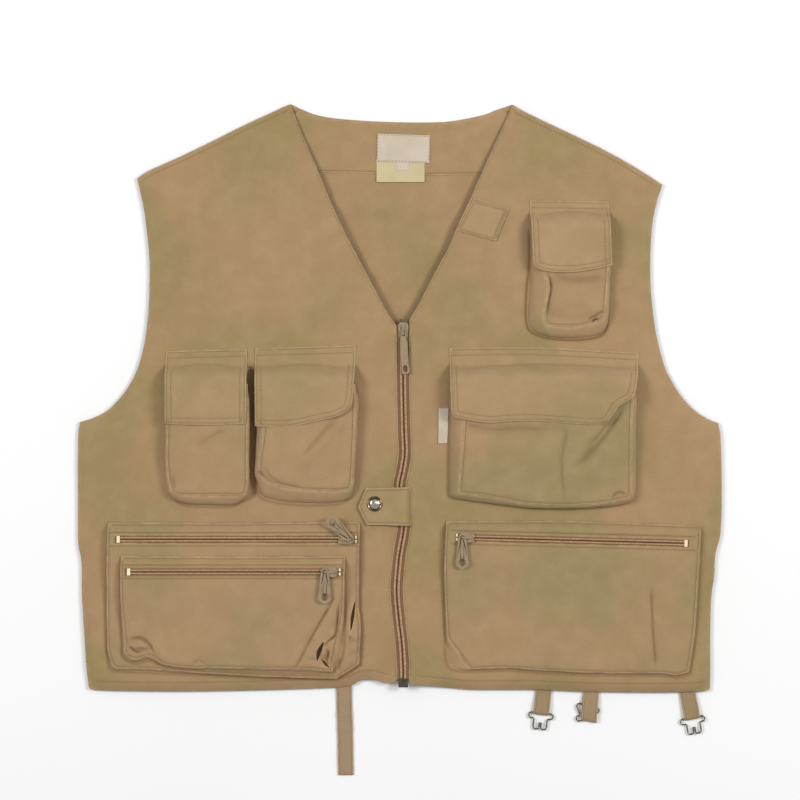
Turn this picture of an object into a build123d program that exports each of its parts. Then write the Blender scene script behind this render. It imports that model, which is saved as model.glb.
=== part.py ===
from build123d import *
import os
from collections import namedtuple
from math import atan2, cos, degrees, hypot, radians, sin

# Sleeveless fishing vest, lying on its back on a flat surface.
# Millimetres. +X is the wearer's left, +Y points to the collar, +Z is up, away from the surface.
# Cloth pieces are plain flat shells here; hardware has its real shape.
os.makedirs("parts", exist_ok=True)

# ---------------------------------------------------------------- driving dimensions
FABRIC = 1.0                 # one cloth panel with its lining
BODY_GAP = 8.0               # room left between the back and the fronts
FRONT_Z = FABRIC + BODY_GAP  # underside of the front panels
TOP_Z = FRONT_Z + FABRIC     # upper side of the front panels, where the pockets are sewn
SEAM = 2.5                   # width of the side and shoulder seams

COLLAR_Y = 320.0             # neck point, the highest point of the vest
HEM_Y = -238.0
NECK_X = 105.0               # half width of the neck hole at the shoulder
BACK_NECK_Y = 302.0          # lowest point of the back neck curve
TIP = (250.0, 243.0)         # outer end of the shoulder seam
ARMHOLE = [(240.0, 190.0), (241.0, 120.0), (262.0, 48.0)]
UNDERARM = (304.0, 17.0)
SIDE_MID = (307.0, -50.0)
HEM_X = 296.0
NECK_EDGE = [(75.0, 255.0), (49.0, 197.0)]   # V neckline between neck point and zip
NECK_END_Y = COLLAR_Y - 4.0  # upper corner of the yoke facing at the shoulder

ZIP_X = 3.0                  # centre line of the front zip
ZIP_TOP_Y = 113.0            # where the V neckline meets the zip
PANEL_TO_ZIP = 6.5           # from the zip's centre line to the fabric edge

SNAP_XY = (-24.0, -60.6)     # axis of the snap fastener
SNAP_HOLE_R = 1.6

# Zip fasteners, size 5 coil. Heights are counted from the underside of the tape.
TAPE = 0.6
TAPE_GAP = 0.5               # half the slit between the two tapes
COIL_OUT = 3.1               # outer edge of one coil row
COIL_TOP = 2.6
SLOT_HALF = 5.4              # half the width of the slot in a pocket face
PLATE_LOW = (-1.4, -0.2)     # slider's lower plate
PLATE_HIGH = (2.8, 3.6)      # slider's upper plate
FLANGE_LOW = 0.9
CHANNEL_HALF = 3.5
SLIDER_BACK = 7.0
SLIDER_FRONT = 7.2
SLIDER_TAIL_HALF = 4.1
SLIDER_HALF = 4.9
SLIDER_NOSE_HALF = 3.0
WEB_HALF = 0.25
WEB_LONG = 2.5               # web that joins the two plates at the slider's nose
WEB_BACK = 2.4               # from the nose to the middle of the web
SLIDER_WIDE = (2.0, 5.0)     # stretch where the slider has its full width
BAIL_ROUND = 0.7
LEG = 4.6                    # from the slider's middle to each leg of its bail
LEG_LONG = 1.2
LEG_WIDE = 1.8
BAIL_TOP = (5.4, 6.2)
PULL_MID = 4.5               # height of the pull's middle plane
PULL_T = 1.2

# Pocket fastener pulls: a flat teardrop with an eye at one end and a round hole at the other
EYE_R = 3.7
EYE_HOLE = 2.2
END_R = 6.2
END_HOLE = 3.3
PULL_LONG = 23.5             # eye centre to hole centre

# Flaps
FLAP_T = 1.2
BAND_T = 1.2
FOLD_GAP = 0.3               # between the sewn band and the moving flap
FLAP_RUN = 18.0              # length of the flap's rise from its fold to the pocket's depth
MOUTH_DROP = 20.0            # from the fold to the mouth of the pocket
FLAP_CLEAR = 1.4             # room for the hook and loop patches
PATCH_T = 0.6
GUSSET_T = 1.2

# Webbing straps and wire hooks at the hem
STRAP_W = 15.0
STRAP_T = 1.2
STRAP_HINGE_Y = -240.0
ANCHOR_LONG = 11.5
WIRE_R = 0.7
LOOP_IN = 0.78
LOOP_OUT = 1.7
BAR_Z = 1.7

FlapPocket = namedtuple("FlapPocket", "name left right bottom fold band_top depth corner edge")
ZipPocket = namedtuple("ZipPocket", "name plane left right bottom top base depth corner zip_y")
Strap = namedtuple("Strap", "name root tip")


def save(part, label):
    """Label one finished piece and write its file."""
    part.label = label
    export_step(part, f"parts/{label}.step")


def upright_frame(x, y, angle):
    """Frame on the resting surface whose x axis is turned by angle degrees."""
    heading = (cos(radians(angle)), sin(radians(angle)), 0)
    return Plane(origin=(x, y, 0), x_dir=heading, z_dir=(0, 0, 1))


def flat_piece(corners, bottom, thickness):
    """Straight-sided flat piece."""
    with BuildPart() as piece:
        with BuildSketch(Plane.XY.offset(bottom)):
            with BuildLine():
                Polyline(*corners, close=True)
            make_face()
        extrude(amount=thickness)
    return piece.part


def shifted(points, dx, dy):
    """The same corner points moved by dx and dy."""
    return [(x + dx, y + dy) for x, y in points]


# ---------------------------------------------------------------- body panels
def outer_edge(side):
    """Shoulder, armhole and side edges of one half, from the neck point to the hem corner."""
    Line((side * NECK_X, COLLAR_Y), (side * TIP[0], TIP[1]))
    Spline(
        (side * TIP[0], TIP[1]),
        *[(side * x, y) for x, y in ARMHOLE],
        (side * UNDERARM[0], UNDERARM[1]),
    )
    ThreePointArc(
        (side * UNDERARM[0], UNDERARM[1]),
        (side * SIDE_MID[0], SIDE_MID[1]),
        (side * HEM_X, HEM_Y),
    )


with BuildPart() as back_panel:
    with BuildSketch(Plane.XY):
        with BuildLine():
            outer_edge(1)
            outer_edge(-1)
            Line((HEM_X, HEM_Y), (-HEM_X, HEM_Y))
            ThreePointArc((-NECK_X, COLLAR_Y), (0, BACK_NECK_Y), (NECK_X, COLLAR_Y))
        make_face()
    extrude(amount=FABRIC)
save(back_panel.part, "back_panel")


def front_panel(side, label):
    """One front: outer edges, straight zip edge and curved V neckline."""
    zip_edge = ZIP_X + side * PANEL_TO_ZIP
    with BuildPart() as panel:
        with BuildSketch(Plane.XY.offset(FRONT_Z)):
            with BuildLine():
                outer_edge(side)
                Line((side * HEM_X, HEM_Y), (zip_edge, HEM_Y))
                Line((zip_edge, HEM_Y), (zip_edge, ZIP_TOP_Y))
                Spline(
                    (zip_edge, ZIP_TOP_Y),
                    *[(side * x, y) for x, y in reversed(NECK_EDGE)],
                    (side * NECK_X, COLLAR_Y),
                )
            make_face()
        extrude(amount=FABRIC)
        if side < 0:
            with BuildSketch(Plane.XY.offset(FRONT_Z)):
                with Locations(SNAP_XY):
                    Circle(SNAP_HOLE_R)
            extrude(amount=FABRIC, mode=Mode.SUBTRACT)
    save(panel.part, label)


front_panel(-1, "right_front_panel")
front_panel(1, "left_front_panel")

# The four sewn seams that join the fronts to the back
SHOULDER_STEP = (0.9, 0.5)   # the shoulder seam starts a little inside the neck point
TIP_STEP = (1.0, 0.5)        # and ends a little inside the armhole
TIP_SLANT = 0.5
with BuildPart() as seams:
    for side in (-1, 1):
        shoulder_in = (side * (NECK_X + SHOULDER_STEP[0]), COLLAR_Y - SHOULDER_STEP[1] - SEAM)
        with BuildSketch(Plane.XY.offset(FABRIC)):
            with BuildLine():
                Polyline(
                    (side * (NECK_X + SHOULDER_STEP[0]), COLLAR_Y - SHOULDER_STEP[1]),
                    (side * (TIP[0] - TIP_STEP[0]), TIP[1] + TIP_STEP[1]),
                    (side * (TIP[0] - TIP_STEP[0] - TIP_SLANT), TIP[1] + TIP_STEP[1] - SEAM),
                    shoulder_in,
                    close=True,
                )
            make_face()
        extrude(amount=BODY_GAP)
        with BuildSketch(Plane.XY.offset(FABRIC)):
            with BuildLine():
                under = (side * UNDERARM[0], UNDERARM[1])
                under_in = (side * (UNDERARM[0] - SEAM), UNDERARM[1])
                hem = (side * HEM_X, HEM_Y)
                hem_in = (side * (HEM_X - SEAM), HEM_Y)
                ThreePointArc(under, (side * SIDE_MID[0], SIDE_MID[1]), hem)
                Line(hem, hem_in)
                ThreePointArc(hem_in, (side * (SIDE_MID[0] - SEAM), SIDE_MID[1]), under_in)
                Line(under_in, under)
            make_face()
        extrude(amount=BODY_GAP)
save(seams.part, "side_and_shoulder_seams")

# Facing sewn across the inside of the back neck, with the labels on it
YOKE_T = 0.8
YOKE_LOW_Y = 253.0
YOKE_LOW_X = 208.0
with BuildPart() as yoke:
    with BuildSketch(Plane.XY.offset(FABRIC)):
        with BuildLine():
            ThreePointArc((-NECK_X, NECK_END_Y), (0, BACK_NECK_Y), (NECK_X, NECK_END_Y))
            Polyline(
                (NECK_X, NECK_END_Y),
                (YOKE_LOW_X, YOKE_LOW_Y),
                (-YOKE_LOW_X, YOKE_LOW_Y),
                (-NECK_X, NECK_END_Y),
            )
        make_face()
    extrude(amount=YOKE_T)
save(yoke.part, "back_yoke_facing")

LABEL_T = 0.6
YOKE_TOP_Z = FABRIC + YOKE_T
NECK_LABEL = (3.25, 277.8, 50.5, 26.6, -1.8)     # centre x, y, width, height, turn
CARE_LABEL = (0.75, 254.3, 46.0, 17.0, 0.0)
SIDE_LABEL = (41.2, 14.0, 10.4, 34.0, 0.0)
with BuildPart() as labels:
    placed = [(NECK_LABEL, YOKE_TOP_Z), (CARE_LABEL, YOKE_TOP_Z), (SIDE_LABEL, TOP_Z)]
    for (x, y, width, height, turn), bottom in placed:
        with BuildSketch(Plane.XY.offset(bottom)):
            with Locations(Location((x, y, 0), (0, 0, turn))):
                Rectangle(width, height)
        extrude(amount=LABEL_T)
save(labels.part, "sewn_labels")


# ---------------------------------------------------------------- pockets
def pocket_outline(left, right, bottom, top, radius):
    """Pocket outline: square at the top and rounded at the two lower corners."""
    sides = FilletPolyline((left, top), (left, bottom), (right, bottom), (right, top), radius=radius)
    Line(sides @ 1, sides @ 0)


def pocket_gusset(name, plane, left, right, bottom, top, base, height, radius, closed):
    """Standing strip around a pocket; the mouth stays open unless closed is true."""
    inner_top = top - GUSSET_T if closed else top + GUSSET_T
    with BuildPart() as gusset:
        with BuildSketch(plane.offset(base)):
            with BuildLine():
                pocket_outline(left, right, bottom, top, radius)
            make_face()
        extrude(amount=height)
        with BuildSketch(plane.offset(base)):
            with BuildLine():
                pocket_outline(
                    left + GUSSET_T, right - GUSSET_T, bottom + GUSSET_T, inner_top, radius - GUSSET_T
                )
            make_face()
        extrude(amount=height, mode=Mode.SUBTRACT)
    save(gusset.part, f"{name}_gusset")


FLAP_POCKETS = [
    FlapPocket("right_chest_outer", -223.0, -145.0, -62.7, 73.0, 84.0, 13.0, 11.0,
               [(-146.0, 15.0), (-222.0, 16.0)]),
    FlapPocket("right_chest_inner", -137.0, -42.0, -61.0, 73.0, 87.0, 13.0, 11.0,
               [(-44.0, 34.0), (-56.0, 22.0), (-100.0, 15.0), (-136.0, 15.0)]),
    FlapPocket("left_chest", 46.5, 225.0, -61.0, 73.0, 85.0, 14.0, 9.0,
               [(222.0, 41.0), (206.0, 27.0), (192.0, 14.5), (138.0, 16.5), (51.0, 22.0)]),
    FlapPocket("upper_chest", 120.6, 198.6, 96.0, 218.0, 227.5, 12.0, 16.0,
               [(199.5, 164.5), (160.0, 160.0), (127.0, 161.5)]),
]


FLAP_LIFT = 0.1              # the flap's fold stays this far off the panel
CUT_MARGIN = 5.0             # tools that trim a solid reach this far beyond it


def flap_solid(pocket):
    """Flap that rises from its fold to clear the pocket, then lies flat over it."""
    start_y = pocket.fold - FOLD_GAP
    flat_y = pocket.fold - FLAP_RUN
    end_y = pocket.bottom
    low = TOP_Z + FLAP_LIFT
    high = TOP_Z + pocket.depth + FLAP_CLEAR
    with BuildPart() as flap:
        with BuildSketch(Plane.YZ.offset(pocket.left - CUT_MARGIN)):
            with BuildLine():
                Polyline(
                    (start_y, low),
                    (flat_y, high),
                    (end_y, high),
                    (end_y, high + FLAP_T),
                    (flat_y, high + FLAP_T),
                    (start_y, low + FLAP_T),
                    close=True,
                )
            make_face()
        extrude(amount=pocket.right - pocket.left + 2 * CUT_MARGIN)
        with BuildSketch(Plane.XY):
            with BuildLine():
                Polyline(
                    (pocket.left, start_y),
                    (pocket.right, start_y),
                    *pocket.edge,
                    close=True,
                )
            make_face()
        extrude(amount=high + 2 * FLAP_T, mode=Mode.INTERSECT)
    return flap.part


PATCH_SHARE = 0.6            # patch width as a share of the pocket's
PATCH_HEIGHT = 15.0
PATCH_RISE = 9.0             # above the flap's lowest point


def patch_box(pocket):
    """Centre and size of the hook and loop patches of one pocket."""
    low_y = min(y for x, y in pocket.edge)
    middle = (pocket.left + pocket.right) / 2
    width = PATCH_SHARE * (pocket.right - pocket.left)
    return middle, low_y + PATCH_RISE + PATCH_HEIGHT / 2, width


for pocket in FLAP_POCKETS:
    mouth = pocket.fold - MOUTH_DROP
    with BuildPart() as face:
        with BuildSketch(Plane.XY.offset(TOP_Z + pocket.depth - FABRIC)):
            with BuildLine():
                pocket_outline(pocket.left, pocket.right, pocket.bottom, mouth, pocket.corner)
            make_face()
        extrude(amount=FABRIC)
    save(face.part, f"{pocket.name}_face")
    pocket_gusset(
        pocket.name, Plane.XY, pocket.left, pocket.right, pocket.bottom, mouth,
        TOP_Z, pocket.depth - FABRIC, pocket.corner, False,
    )
    save(flap_solid(pocket), f"{pocket.name}_flap")
    patch_x, patch_y, patch_w = patch_box(pocket)
    with BuildPart() as patch:
        with BuildSketch(Plane.XY.offset(TOP_Z + pocket.depth + FLAP_CLEAR - PATCH_T)):
            with Locations((patch_x, patch_y)):
                Rectangle(patch_w, PATCH_HEIGHT)
        extrude(amount=PATCH_T)
    save(patch.part, f"{pocket.name}_hook_patch")

# The sewn-down upper edge of each flap
with BuildPart() as bands:
    for pocket in FLAP_POCKETS:
        with BuildSketch(Plane.XY.offset(TOP_Z)):
            with Locations(((pocket.left + pocket.right) / 2, (pocket.fold + pocket.band_top) / 2)):
                Rectangle(pocket.right - pocket.left, pocket.band_top - pocket.fold)
        extrude(amount=BAND_T)
save(bands.part, "flap_seam_bands")

# Zip pockets: two cargo pockets and a smaller one sewn on the right cargo pocket's face
CARGO_D = 7.0
SECOND_D = 6.0
LEFT_CARGO_TURN = -1.5
LEFT_CARGO = upright_frame(164.0, -149.5, LEFT_CARGO_TURN)
CARGO_TOP_Z = TOP_Z + CARGO_D
ZIP_POCKETS = [
    ZipPocket("right_cargo", Plane.XY, -277.0, -39.0, -220.0, -76.0, TOP_Z, CARGO_D, 6.0, -94.0),
    ZipPocket("right_zip_pocket", Plane.XY, -264.0, -52.0, -215.6, -109.0, CARGO_TOP_Z, SECOND_D,
              9.0, -124.5),
    ZipPocket("left_cargo", LEFT_CARGO, -119.0, 119.0, -70.5, 70.5, TOP_Z, CARGO_D, 6.0, 54.5),
]
SLOT_END = 1.6               # cloth left between the end of the slot and the pocket's side

for pocket in ZIP_POCKETS:
    with BuildPart() as face:
        with BuildSketch(pocket.plane.offset(pocket.base + pocket.depth - FABRIC)):
            with BuildLine():
                pocket_outline(pocket.left, pocket.right, pocket.bottom, pocket.top, pocket.corner)
            make_face()
            with Locations(((pocket.left + pocket.right) / 2, pocket.zip_y)):
                Rectangle(
                    pocket.right - pocket.left - 2 * SLOT_END, 2 * SLOT_HALF, mode=Mode.SUBTRACT
                )
        extrude(amount=FABRIC)
    save(face.part, f"{pocket.name}_face")
    pocket_gusset(
        pocket.name, pocket.plane, pocket.left, pocket.right, pocket.bottom, pocket.top,
        pocket.base, pocket.depth - FABRIC, pocket.corner, True,
    )


# ---------------------------------------------------------------- zip fasteners
def tape_and_coil(plane, start, end, coil_start, coil_end, tape_out, with_tape, with_coil):
    """Two rows of a closed zip along the plane's x axis; the plane lies on the tape's underside."""
    with BuildPart() as rows:
        for side in (-1, 1):
            if with_tape:
                with BuildSketch(plane):
                    with Locations(((start + end) / 2, side * (TAPE_GAP + tape_out) / 2)):
                        Rectangle(end - start, tape_out - TAPE_GAP)
                extrude(amount=TAPE)
            if with_coil:
                with BuildSketch(plane.offset(TAPE)):
                    with Locations(((coil_start + coil_end) / 2, side * (TAPE_GAP + COIL_OUT) / 2)):
                        Rectangle(coil_end - coil_start, COIL_OUT - TAPE_GAP)
                extrude(amount=COIL_TOP - TAPE)
    return rows.part


def zip_slider(plane, label):
    """Slider at the plane's origin, closing towards the plane's x axis."""
    outline = [
        (-SLIDER_BACK, -SLIDER_TAIL_HALF), (SLIDER_WIDE[0], -SLIDER_HALF),
        (SLIDER_WIDE[1], -SLIDER_HALF), (SLIDER_FRONT, -SLIDER_NOSE_HALF),
        (SLIDER_FRONT, SLIDER_NOSE_HALF), (SLIDER_WIDE[1], SLIDER_HALF),
        (SLIDER_WIDE[0], SLIDER_HALF), (-SLIDER_BACK, SLIDER_TAIL_HALF),
    ]
    with BuildPart() as slider:
        for low, high in (PLATE_LOW, PLATE_HIGH):
            with BuildSketch(plane.offset(low)):
                with BuildLine():
                    Polyline(*outline, close=True)
                make_face()
            extrude(amount=high - low)
        with BuildSketch(plane.offset(FLANGE_LOW)):
            with BuildLine():
                Polyline(*outline, close=True)
            make_face()
            Rectangle(3 * SLIDER_FRONT, 2 * CHANNEL_HALF, mode=Mode.SUBTRACT)
        extrude(amount=PLATE_HIGH[0] - FLANGE_LOW)
        with BuildSketch(plane.offset(PLATE_LOW[1])):
            with Locations((SLIDER_FRONT - WEB_BACK, 0)):
                Rectangle(WEB_LONG, 2 * WEB_HALF)
        extrude(amount=PLATE_HIGH[0] - PLATE_LOW[1])
        with BuildSketch(plane.offset(PLATE_HIGH[1])):
            with Locations((-LEG, 0), (LEG, 0)):
                Rectangle(LEG_LONG, LEG_WIDE)
        extrude(amount=BAIL_TOP[0] - PLATE_HIGH[1])
        with BuildSketch(plane.offset(BAIL_TOP[0])):
            Rectangle(2 * LEG + LEG_LONG, LEG_WIDE)
        extrude(amount=BAIL_TOP[1] - BAIL_TOP[0])
        across = Axis(plane.origin, plane.y_dir)
        fillet(slider.edges().filter_by(across).group_by(Axis.Z)[-1], BAIL_ROUND)
    save(slider.part, label)


def eye_pull(plane, leg, heading, label):
    """Pocket pull: its eye goes round one leg of the bail and it lies at the given heading."""
    pivot = plane.from_local_coords(Vector(leg, 0, PULL_MID - PULL_T / 2))
    turned = (cos(radians(heading)), sin(radians(heading)), 0)
    with BuildPart() as pull:
        with BuildSketch(Plane(origin=pivot, x_dir=turned, z_dir=(0, 0, 1))):
            Circle(EYE_R)
            with Locations((PULL_LONG, 0)):
                Circle(END_R)
            make_hull()
            Circle(EYE_HOLE, mode=Mode.SUBTRACT)
            with Locations((PULL_LONG, 0)):
                Circle(END_HOLE, mode=Mode.SUBTRACT)
        extrude(amount=PULL_T)
    save(pull.part, label)


MAIN_ZIP = Plane(origin=(ZIP_X, 0, FRONT_Z - TAPE), x_dir=(0, 1, 0), z_dir=(0, 0, 1))
MAIN_TAPE_OUT = 14.0
MAIN_TAPE = (-237.0, 117.0)
MAIN_COIL = (-226.0, 112.0)
MAIN_SLIDER_Y = 104.5
save(
    tape_and_coil(MAIN_ZIP, *MAIN_TAPE, *MAIN_COIL, MAIN_TAPE_OUT, True, False),
    "front_zip_tapes",
)
save(
    tape_and_coil(MAIN_ZIP, *MAIN_TAPE, *MAIN_COIL, MAIN_TAPE_OUT, False, True),
    "front_zip_coils",
)

# Stops of the front zip: one on each row at the top, and the box at the bottom
STOP_LONG = 3.0
STOP_HALF = 3.3
STOP_TOP = COIL_TOP + 0.2    # stops stand a little above the coils
BOX_LONG = 8.0
BOX_HALF = 4.6
BOX_GAP = 1.0                # from the last coil to the box
with BuildPart() as front_stops:
    with BuildSketch(MAIN_ZIP.offset(TAPE)):
        stop_x = MAIN_COIL[1] + STOP_LONG / 2
        stop_y = (TAPE_GAP + STOP_HALF) / 2
        with Locations((stop_x, stop_y), (stop_x, -stop_y)):
            Rectangle(STOP_LONG, STOP_HALF - TAPE_GAP)
        with Locations((MAIN_COIL[0] - BOX_LONG / 2 - BOX_GAP, 0)):
            Rectangle(BOX_LONG, 2 * BOX_HALF)
    extrude(amount=STOP_TOP - TAPE)
save(front_stops.part, "front_zip_stops")

main_slider_plane = Plane(
    origin=(ZIP_X, MAIN_SLIDER_Y, FRONT_Z - TAPE), x_dir=(0, 1, 0), z_dir=(0, 0, 1)
)
zip_slider(main_slider_plane, "front_slider")

# Long flat pull of the front zip, with the bar that goes through the slider's bail
RAIL_HALF = 2.6
WINDOW_HALF = 1.5
WINDOW_END = 6.0
NECK_FROM = WINDOW_END + 3.0  # the pull widens between these two distances
NECK_TO = WINDOW_END + 8.0
PULL_BODY_HALF = 3.5
PULL_END = 41.8
PULL_ROUND = 1.6
PULL_SLOT = (6.4, 4.0)       # hole at the pull's free end, length and width
PULL_SLOT_IN = 4.9           # from the free end to the hole's middle
PULL_LEAN = 3.2              # degrees by which the loose pull lies aslant on its bail
BAR_R = 0.65
pull_plane = main_slider_plane.rotated((0, 0, PULL_LEAN))
with BuildPart() as front_pull:
    with BuildSketch(pull_plane.offset(PULL_MID - PULL_T / 2)):
        with BuildLine():
            FilletPolyline(
                (0, RAIL_HALF), (-NECK_FROM, RAIL_HALF), (-NECK_TO, PULL_BODY_HALF),
                (-PULL_END, PULL_BODY_HALF), (-PULL_END, -PULL_BODY_HALF),
                (-NECK_TO, -PULL_BODY_HALF), (-NECK_FROM, -RAIL_HALF), (0, -RAIL_HALF),
                radius=PULL_ROUND,
            )
            Line((0, -RAIL_HALF), (0, RAIL_HALF))
        make_face()
        with Locations((-WINDOW_END / 2, 0)):
            Rectangle(WINDOW_END, 2 * WINDOW_HALF, mode=Mode.SUBTRACT)
        with Locations((-PULL_END + PULL_SLOT_IN, 0)):
            SlotOverall(*PULL_SLOT, mode=Mode.SUBTRACT)
    extrude(amount=PULL_T)
    bar_plane = Plane(
        origin=pull_plane.offset(PULL_MID).origin, x_dir=pull_plane.x_dir, z_dir=pull_plane.y_dir
    )
    with BuildSketch(bar_plane):
        Circle(BAR_R)
    extrude(amount=RAIL_HALF, both=True)
save(front_pull.part, "front_pull")

# Pocket zips. The plane's x axis is the closing direction; its origin is the middle of the slider.
POCKET_TAPE_OUT = 10.0
RIGHT_SLIDER_X = -51.4
SECOND_SLIDER_X = -66.5
LEFT_SLIDER_X = -102.0       # in the left cargo pocket's own frame
RUN_TO_END = 8.6             # slider's middle to the end of the coils in front of it
TAPE_BEYOND = (1.0, 2.4)     # tape beyond the chain, behind and in front of the slider
END_STOP = (1.8, 2.8)        # the small stop on each row in front of the slider
END_STOP_OFF = 1.9           # its middle from the chain's centre line


def pocket_zip_plane(pocket, slider_x, closing):
    """Frame at the slider's middle, on the underside of the tape."""
    height = pocket.base + pocket.depth - FABRIC - TAPE
    origin = pocket.plane.from_local_coords(Vector(slider_x, pocket.zip_y, height))
    return Plane(origin=origin, x_dir=pocket.plane.x_dir * closing, z_dir=(0, 0, 1))


right_cargo, right_zip_pocket, left_cargo = ZIP_POCKETS
POCKET_ZIPS = [
    # name, frame at the slider, closed length behind the slider, heading and leg of its pull
    ("right_cargo_zip", pocket_zip_plane(right_cargo, RIGHT_SLIDER_X, 1), 217.0, 137.0, LEG),
    ("right_zip_pocket_zip", pocket_zip_plane(right_zip_pocket, SECOND_SLIDER_X, 1), 191.5, 270.0,
     -LEG),
    ("left_cargo_zip", pocket_zip_plane(left_cargo, LEFT_SLIDER_X, -1), 209.0, 270.0, LEG),
]
for name, plane, closed_length, heading, leg in POCKET_ZIPS:
    chain = tape_and_coil(
        plane, -closed_length - TAPE_BEYOND[0], RUN_TO_END + TAPE_BEYOND[1],
        -closed_length + STOP_LONG, RUN_TO_END, POCKET_TAPE_OUT, True, True,
    )
    save(chain, f"{name}_chain")
    zip_slider(plane, f"{name}_slider")
    eye_pull(plane, leg, heading, f"{name}_pull")

with BuildPart() as pocket_stops:
    for _, plane, closed_length, *_ in POCKET_ZIPS:
        end_stop_x = RUN_TO_END + END_STOP[0] / 2
        with BuildSketch(plane.offset(TAPE)):
            with Locations((-closed_length + STOP_LONG / 2, 0)):
                Rectangle(STOP_LONG, 2 * STOP_HALF)
            with Locations((end_stop_x, END_STOP_OFF), (end_stop_x, -END_STOP_OFF)):
                Rectangle(*END_STOP)
        extrude(amount=STOP_TOP - TAPE)
save(pocket_stops.part, "pocket_zip_stops")

# ---------------------------------------------------------------- snap tab across the front zip
TAB_Y = (-81.0, -43.7)
TAB_ARCH_Z = 15.1            # underside of the tab where the slider passes below it
TAB_LOW_Z = 12.7             # underside of the tab at the snap
TAB_ROOT_X = 8.9
TAB_START_X = 8.6
TAB_ARCH_X = -4.0
TAB_FLAT_X = -13.0
TAB_TIP_X = -40.0
TAB_POINT = [(-32.3, TAB_Y[1] - 1.9), (TAB_TIP_X, -63.6), (-31.4, TAB_Y[0] + 0.2)]
with BuildPart() as snap_tab:
    with BuildSketch(Plane.XZ.offset(-TAB_Y[1])):
        with BuildLine():
            Polyline(
                (TAB_START_X, TAB_ARCH_Z), (TAB_ARCH_X, TAB_ARCH_Z), (TAB_FLAT_X, TAB_LOW_Z),
                (TAB_TIP_X, TAB_LOW_Z), (TAB_TIP_X, TAB_LOW_Z + FABRIC),
                (TAB_FLAT_X, TAB_LOW_Z + FABRIC), (TAB_ARCH_X, TAB_ARCH_Z + FABRIC),
                (TAB_START_X, TAB_ARCH_Z + FABRIC),
                close=True,
            )
        make_face()
    extrude(amount=TAB_Y[1] - TAB_Y[0])
    with BuildSketch(Plane.XY):
        with BuildLine():
            Polyline((TAB_START_X, TAB_Y[1]), *TAB_POINT, (TAB_START_X, TAB_Y[0]), close=True)
        make_face()
    extrude(amount=TAB_ARCH_Z + CUT_MARGIN, mode=Mode.INTERSECT)
    with BuildSketch(Plane.XY):
        with Locations(SNAP_XY):
            Circle(SNAP_HOLE_R)
    extrude(amount=TAB_ARCH_Z + CUT_MARGIN, mode=Mode.SUBTRACT)
save(snap_tab.part, "snap_tab")

# Snap fastener: stud on the right front, socket and cap on the tab. A profile is a list of
# (radius, height): the stud's above the panel's upper side, the others' above the tab's underside.
RIVET_R = 1.5
STUD = [
    (0, -1.8), (4.6, -1.8), (4.6, -FABRIC), (RIVET_R, -FABRIC), (RIVET_R, 0), (5.5, 0),
    (5.5, 0.6), (2.2, 0.6), (2.4, 1.7), (2.1, 2.0), (0, 2.0),
]
SOCKET = [(0, 0), (5.5, 0), (5.8, -1.2), (5.4, -1.7), (2.8, -1.7), (2.8, -0.5), (0, -0.5)]
CAP = [
    (0, 0), (RIVET_R, 0), (RIVET_R, 1.0), (7.2, 1.0), (7.2, 1.7), (6.6, 2.3), (5.0, 3.0),
    (3.0, 3.4), (0, 3.5),
]


def turned_piece(profile, level, label):
    """Round piece on the snap's axis, from its half section; heights count from level."""
    axis_plane = Plane(origin=(*SNAP_XY, level), x_dir=(1, 0, 0), z_dir=(0, -1, 0))
    with BuildPart() as piece:
        with BuildSketch(axis_plane):
            with BuildLine():
                Polyline(*profile, close=True)
            make_face()
        revolve(axis=Axis((*SNAP_XY, 0), (0, 0, 1)))
    save(piece.part, label)


turned_piece(STUD, TOP_Z, "snap_stud")
turned_piece(SOCKET, TAB_LOW_Z, "snap_socket")
turned_piece(CAP, TAB_LOW_Z, "snap_cap")

# ---------------------------------------------------------------- tab on the left chest
ROD_TAB = [(54.0, 199.0), (70.0, 230.0), (104.0, 220.0), (91.0, 188.7)]
ROD_ROOT_W = 3.0             # width of the sewn end
ROD_TAB_Z = TOP_Z + 1.3
seam_angle = atan2(ROD_TAB[1][1] - ROD_TAB[0][1], ROD_TAB[1][0] - ROD_TAB[0][0])
across = (sin(seam_angle), -cos(seam_angle))
root_gap = (across[0] * FOLD_GAP, across[1] * FOLD_GAP)
root_far = (-across[0] * ROD_ROOT_W, -across[1] * ROD_ROOT_W)
save(
    flat_piece(
        [*shifted(ROD_TAB[:2], *root_gap), ROD_TAB[2], ROD_TAB[3]], ROD_TAB_Z, FABRIC
    ),
    "rod_tab",
)
PATCH_CORNERS = [(67.0, 202.0), (76.5, 219.5), (95.0, 214.0), (86.5, 196.5)]
save(flat_piece(PATCH_CORNERS, ROD_TAB_Z - PATCH_T, PATCH_T), "rod_tab_hook_patch")

# Soft loop patches: one on each flap pocket's face and one under the chest tab
with BuildPart() as loops:
    for pocket in FLAP_POCKETS:
        patch_x, patch_y, patch_w = patch_box(pocket)
        with BuildSketch(Plane.XY.offset(TOP_Z + pocket.depth)):
            with Locations((patch_x, patch_y)):
                Rectangle(patch_w, PATCH_HEIGHT)
        extrude(amount=PATCH_T)
    with BuildSketch(Plane.XY.offset(TOP_Z)):
        with BuildLine():
            Polyline(*PATCH_CORNERS, close=True)
        make_face()
    extrude(amount=PATCH_T)
save(loops.part, "loop_patches")

# ---------------------------------------------------------------- straps at the hem
# root and tip are the middles of the strap's two ends; on a hook strap the tip is the wire bar
STRAPS = [
    Strap("tie_strap", (-53.2, STRAP_HINGE_Y), (-51.8, -320.0)),
    Strap("inner_hook_strap", (136.8, STRAP_HINGE_Y), (134.6, -260.3)),
    Strap("middle_hook_strap", (182.2, STRAP_HINGE_Y), (180.0, -264.0)),
    Strap("outer_hook_strap", (274.0, STRAP_HINGE_Y), (278.4, -264.6)),
]


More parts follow.
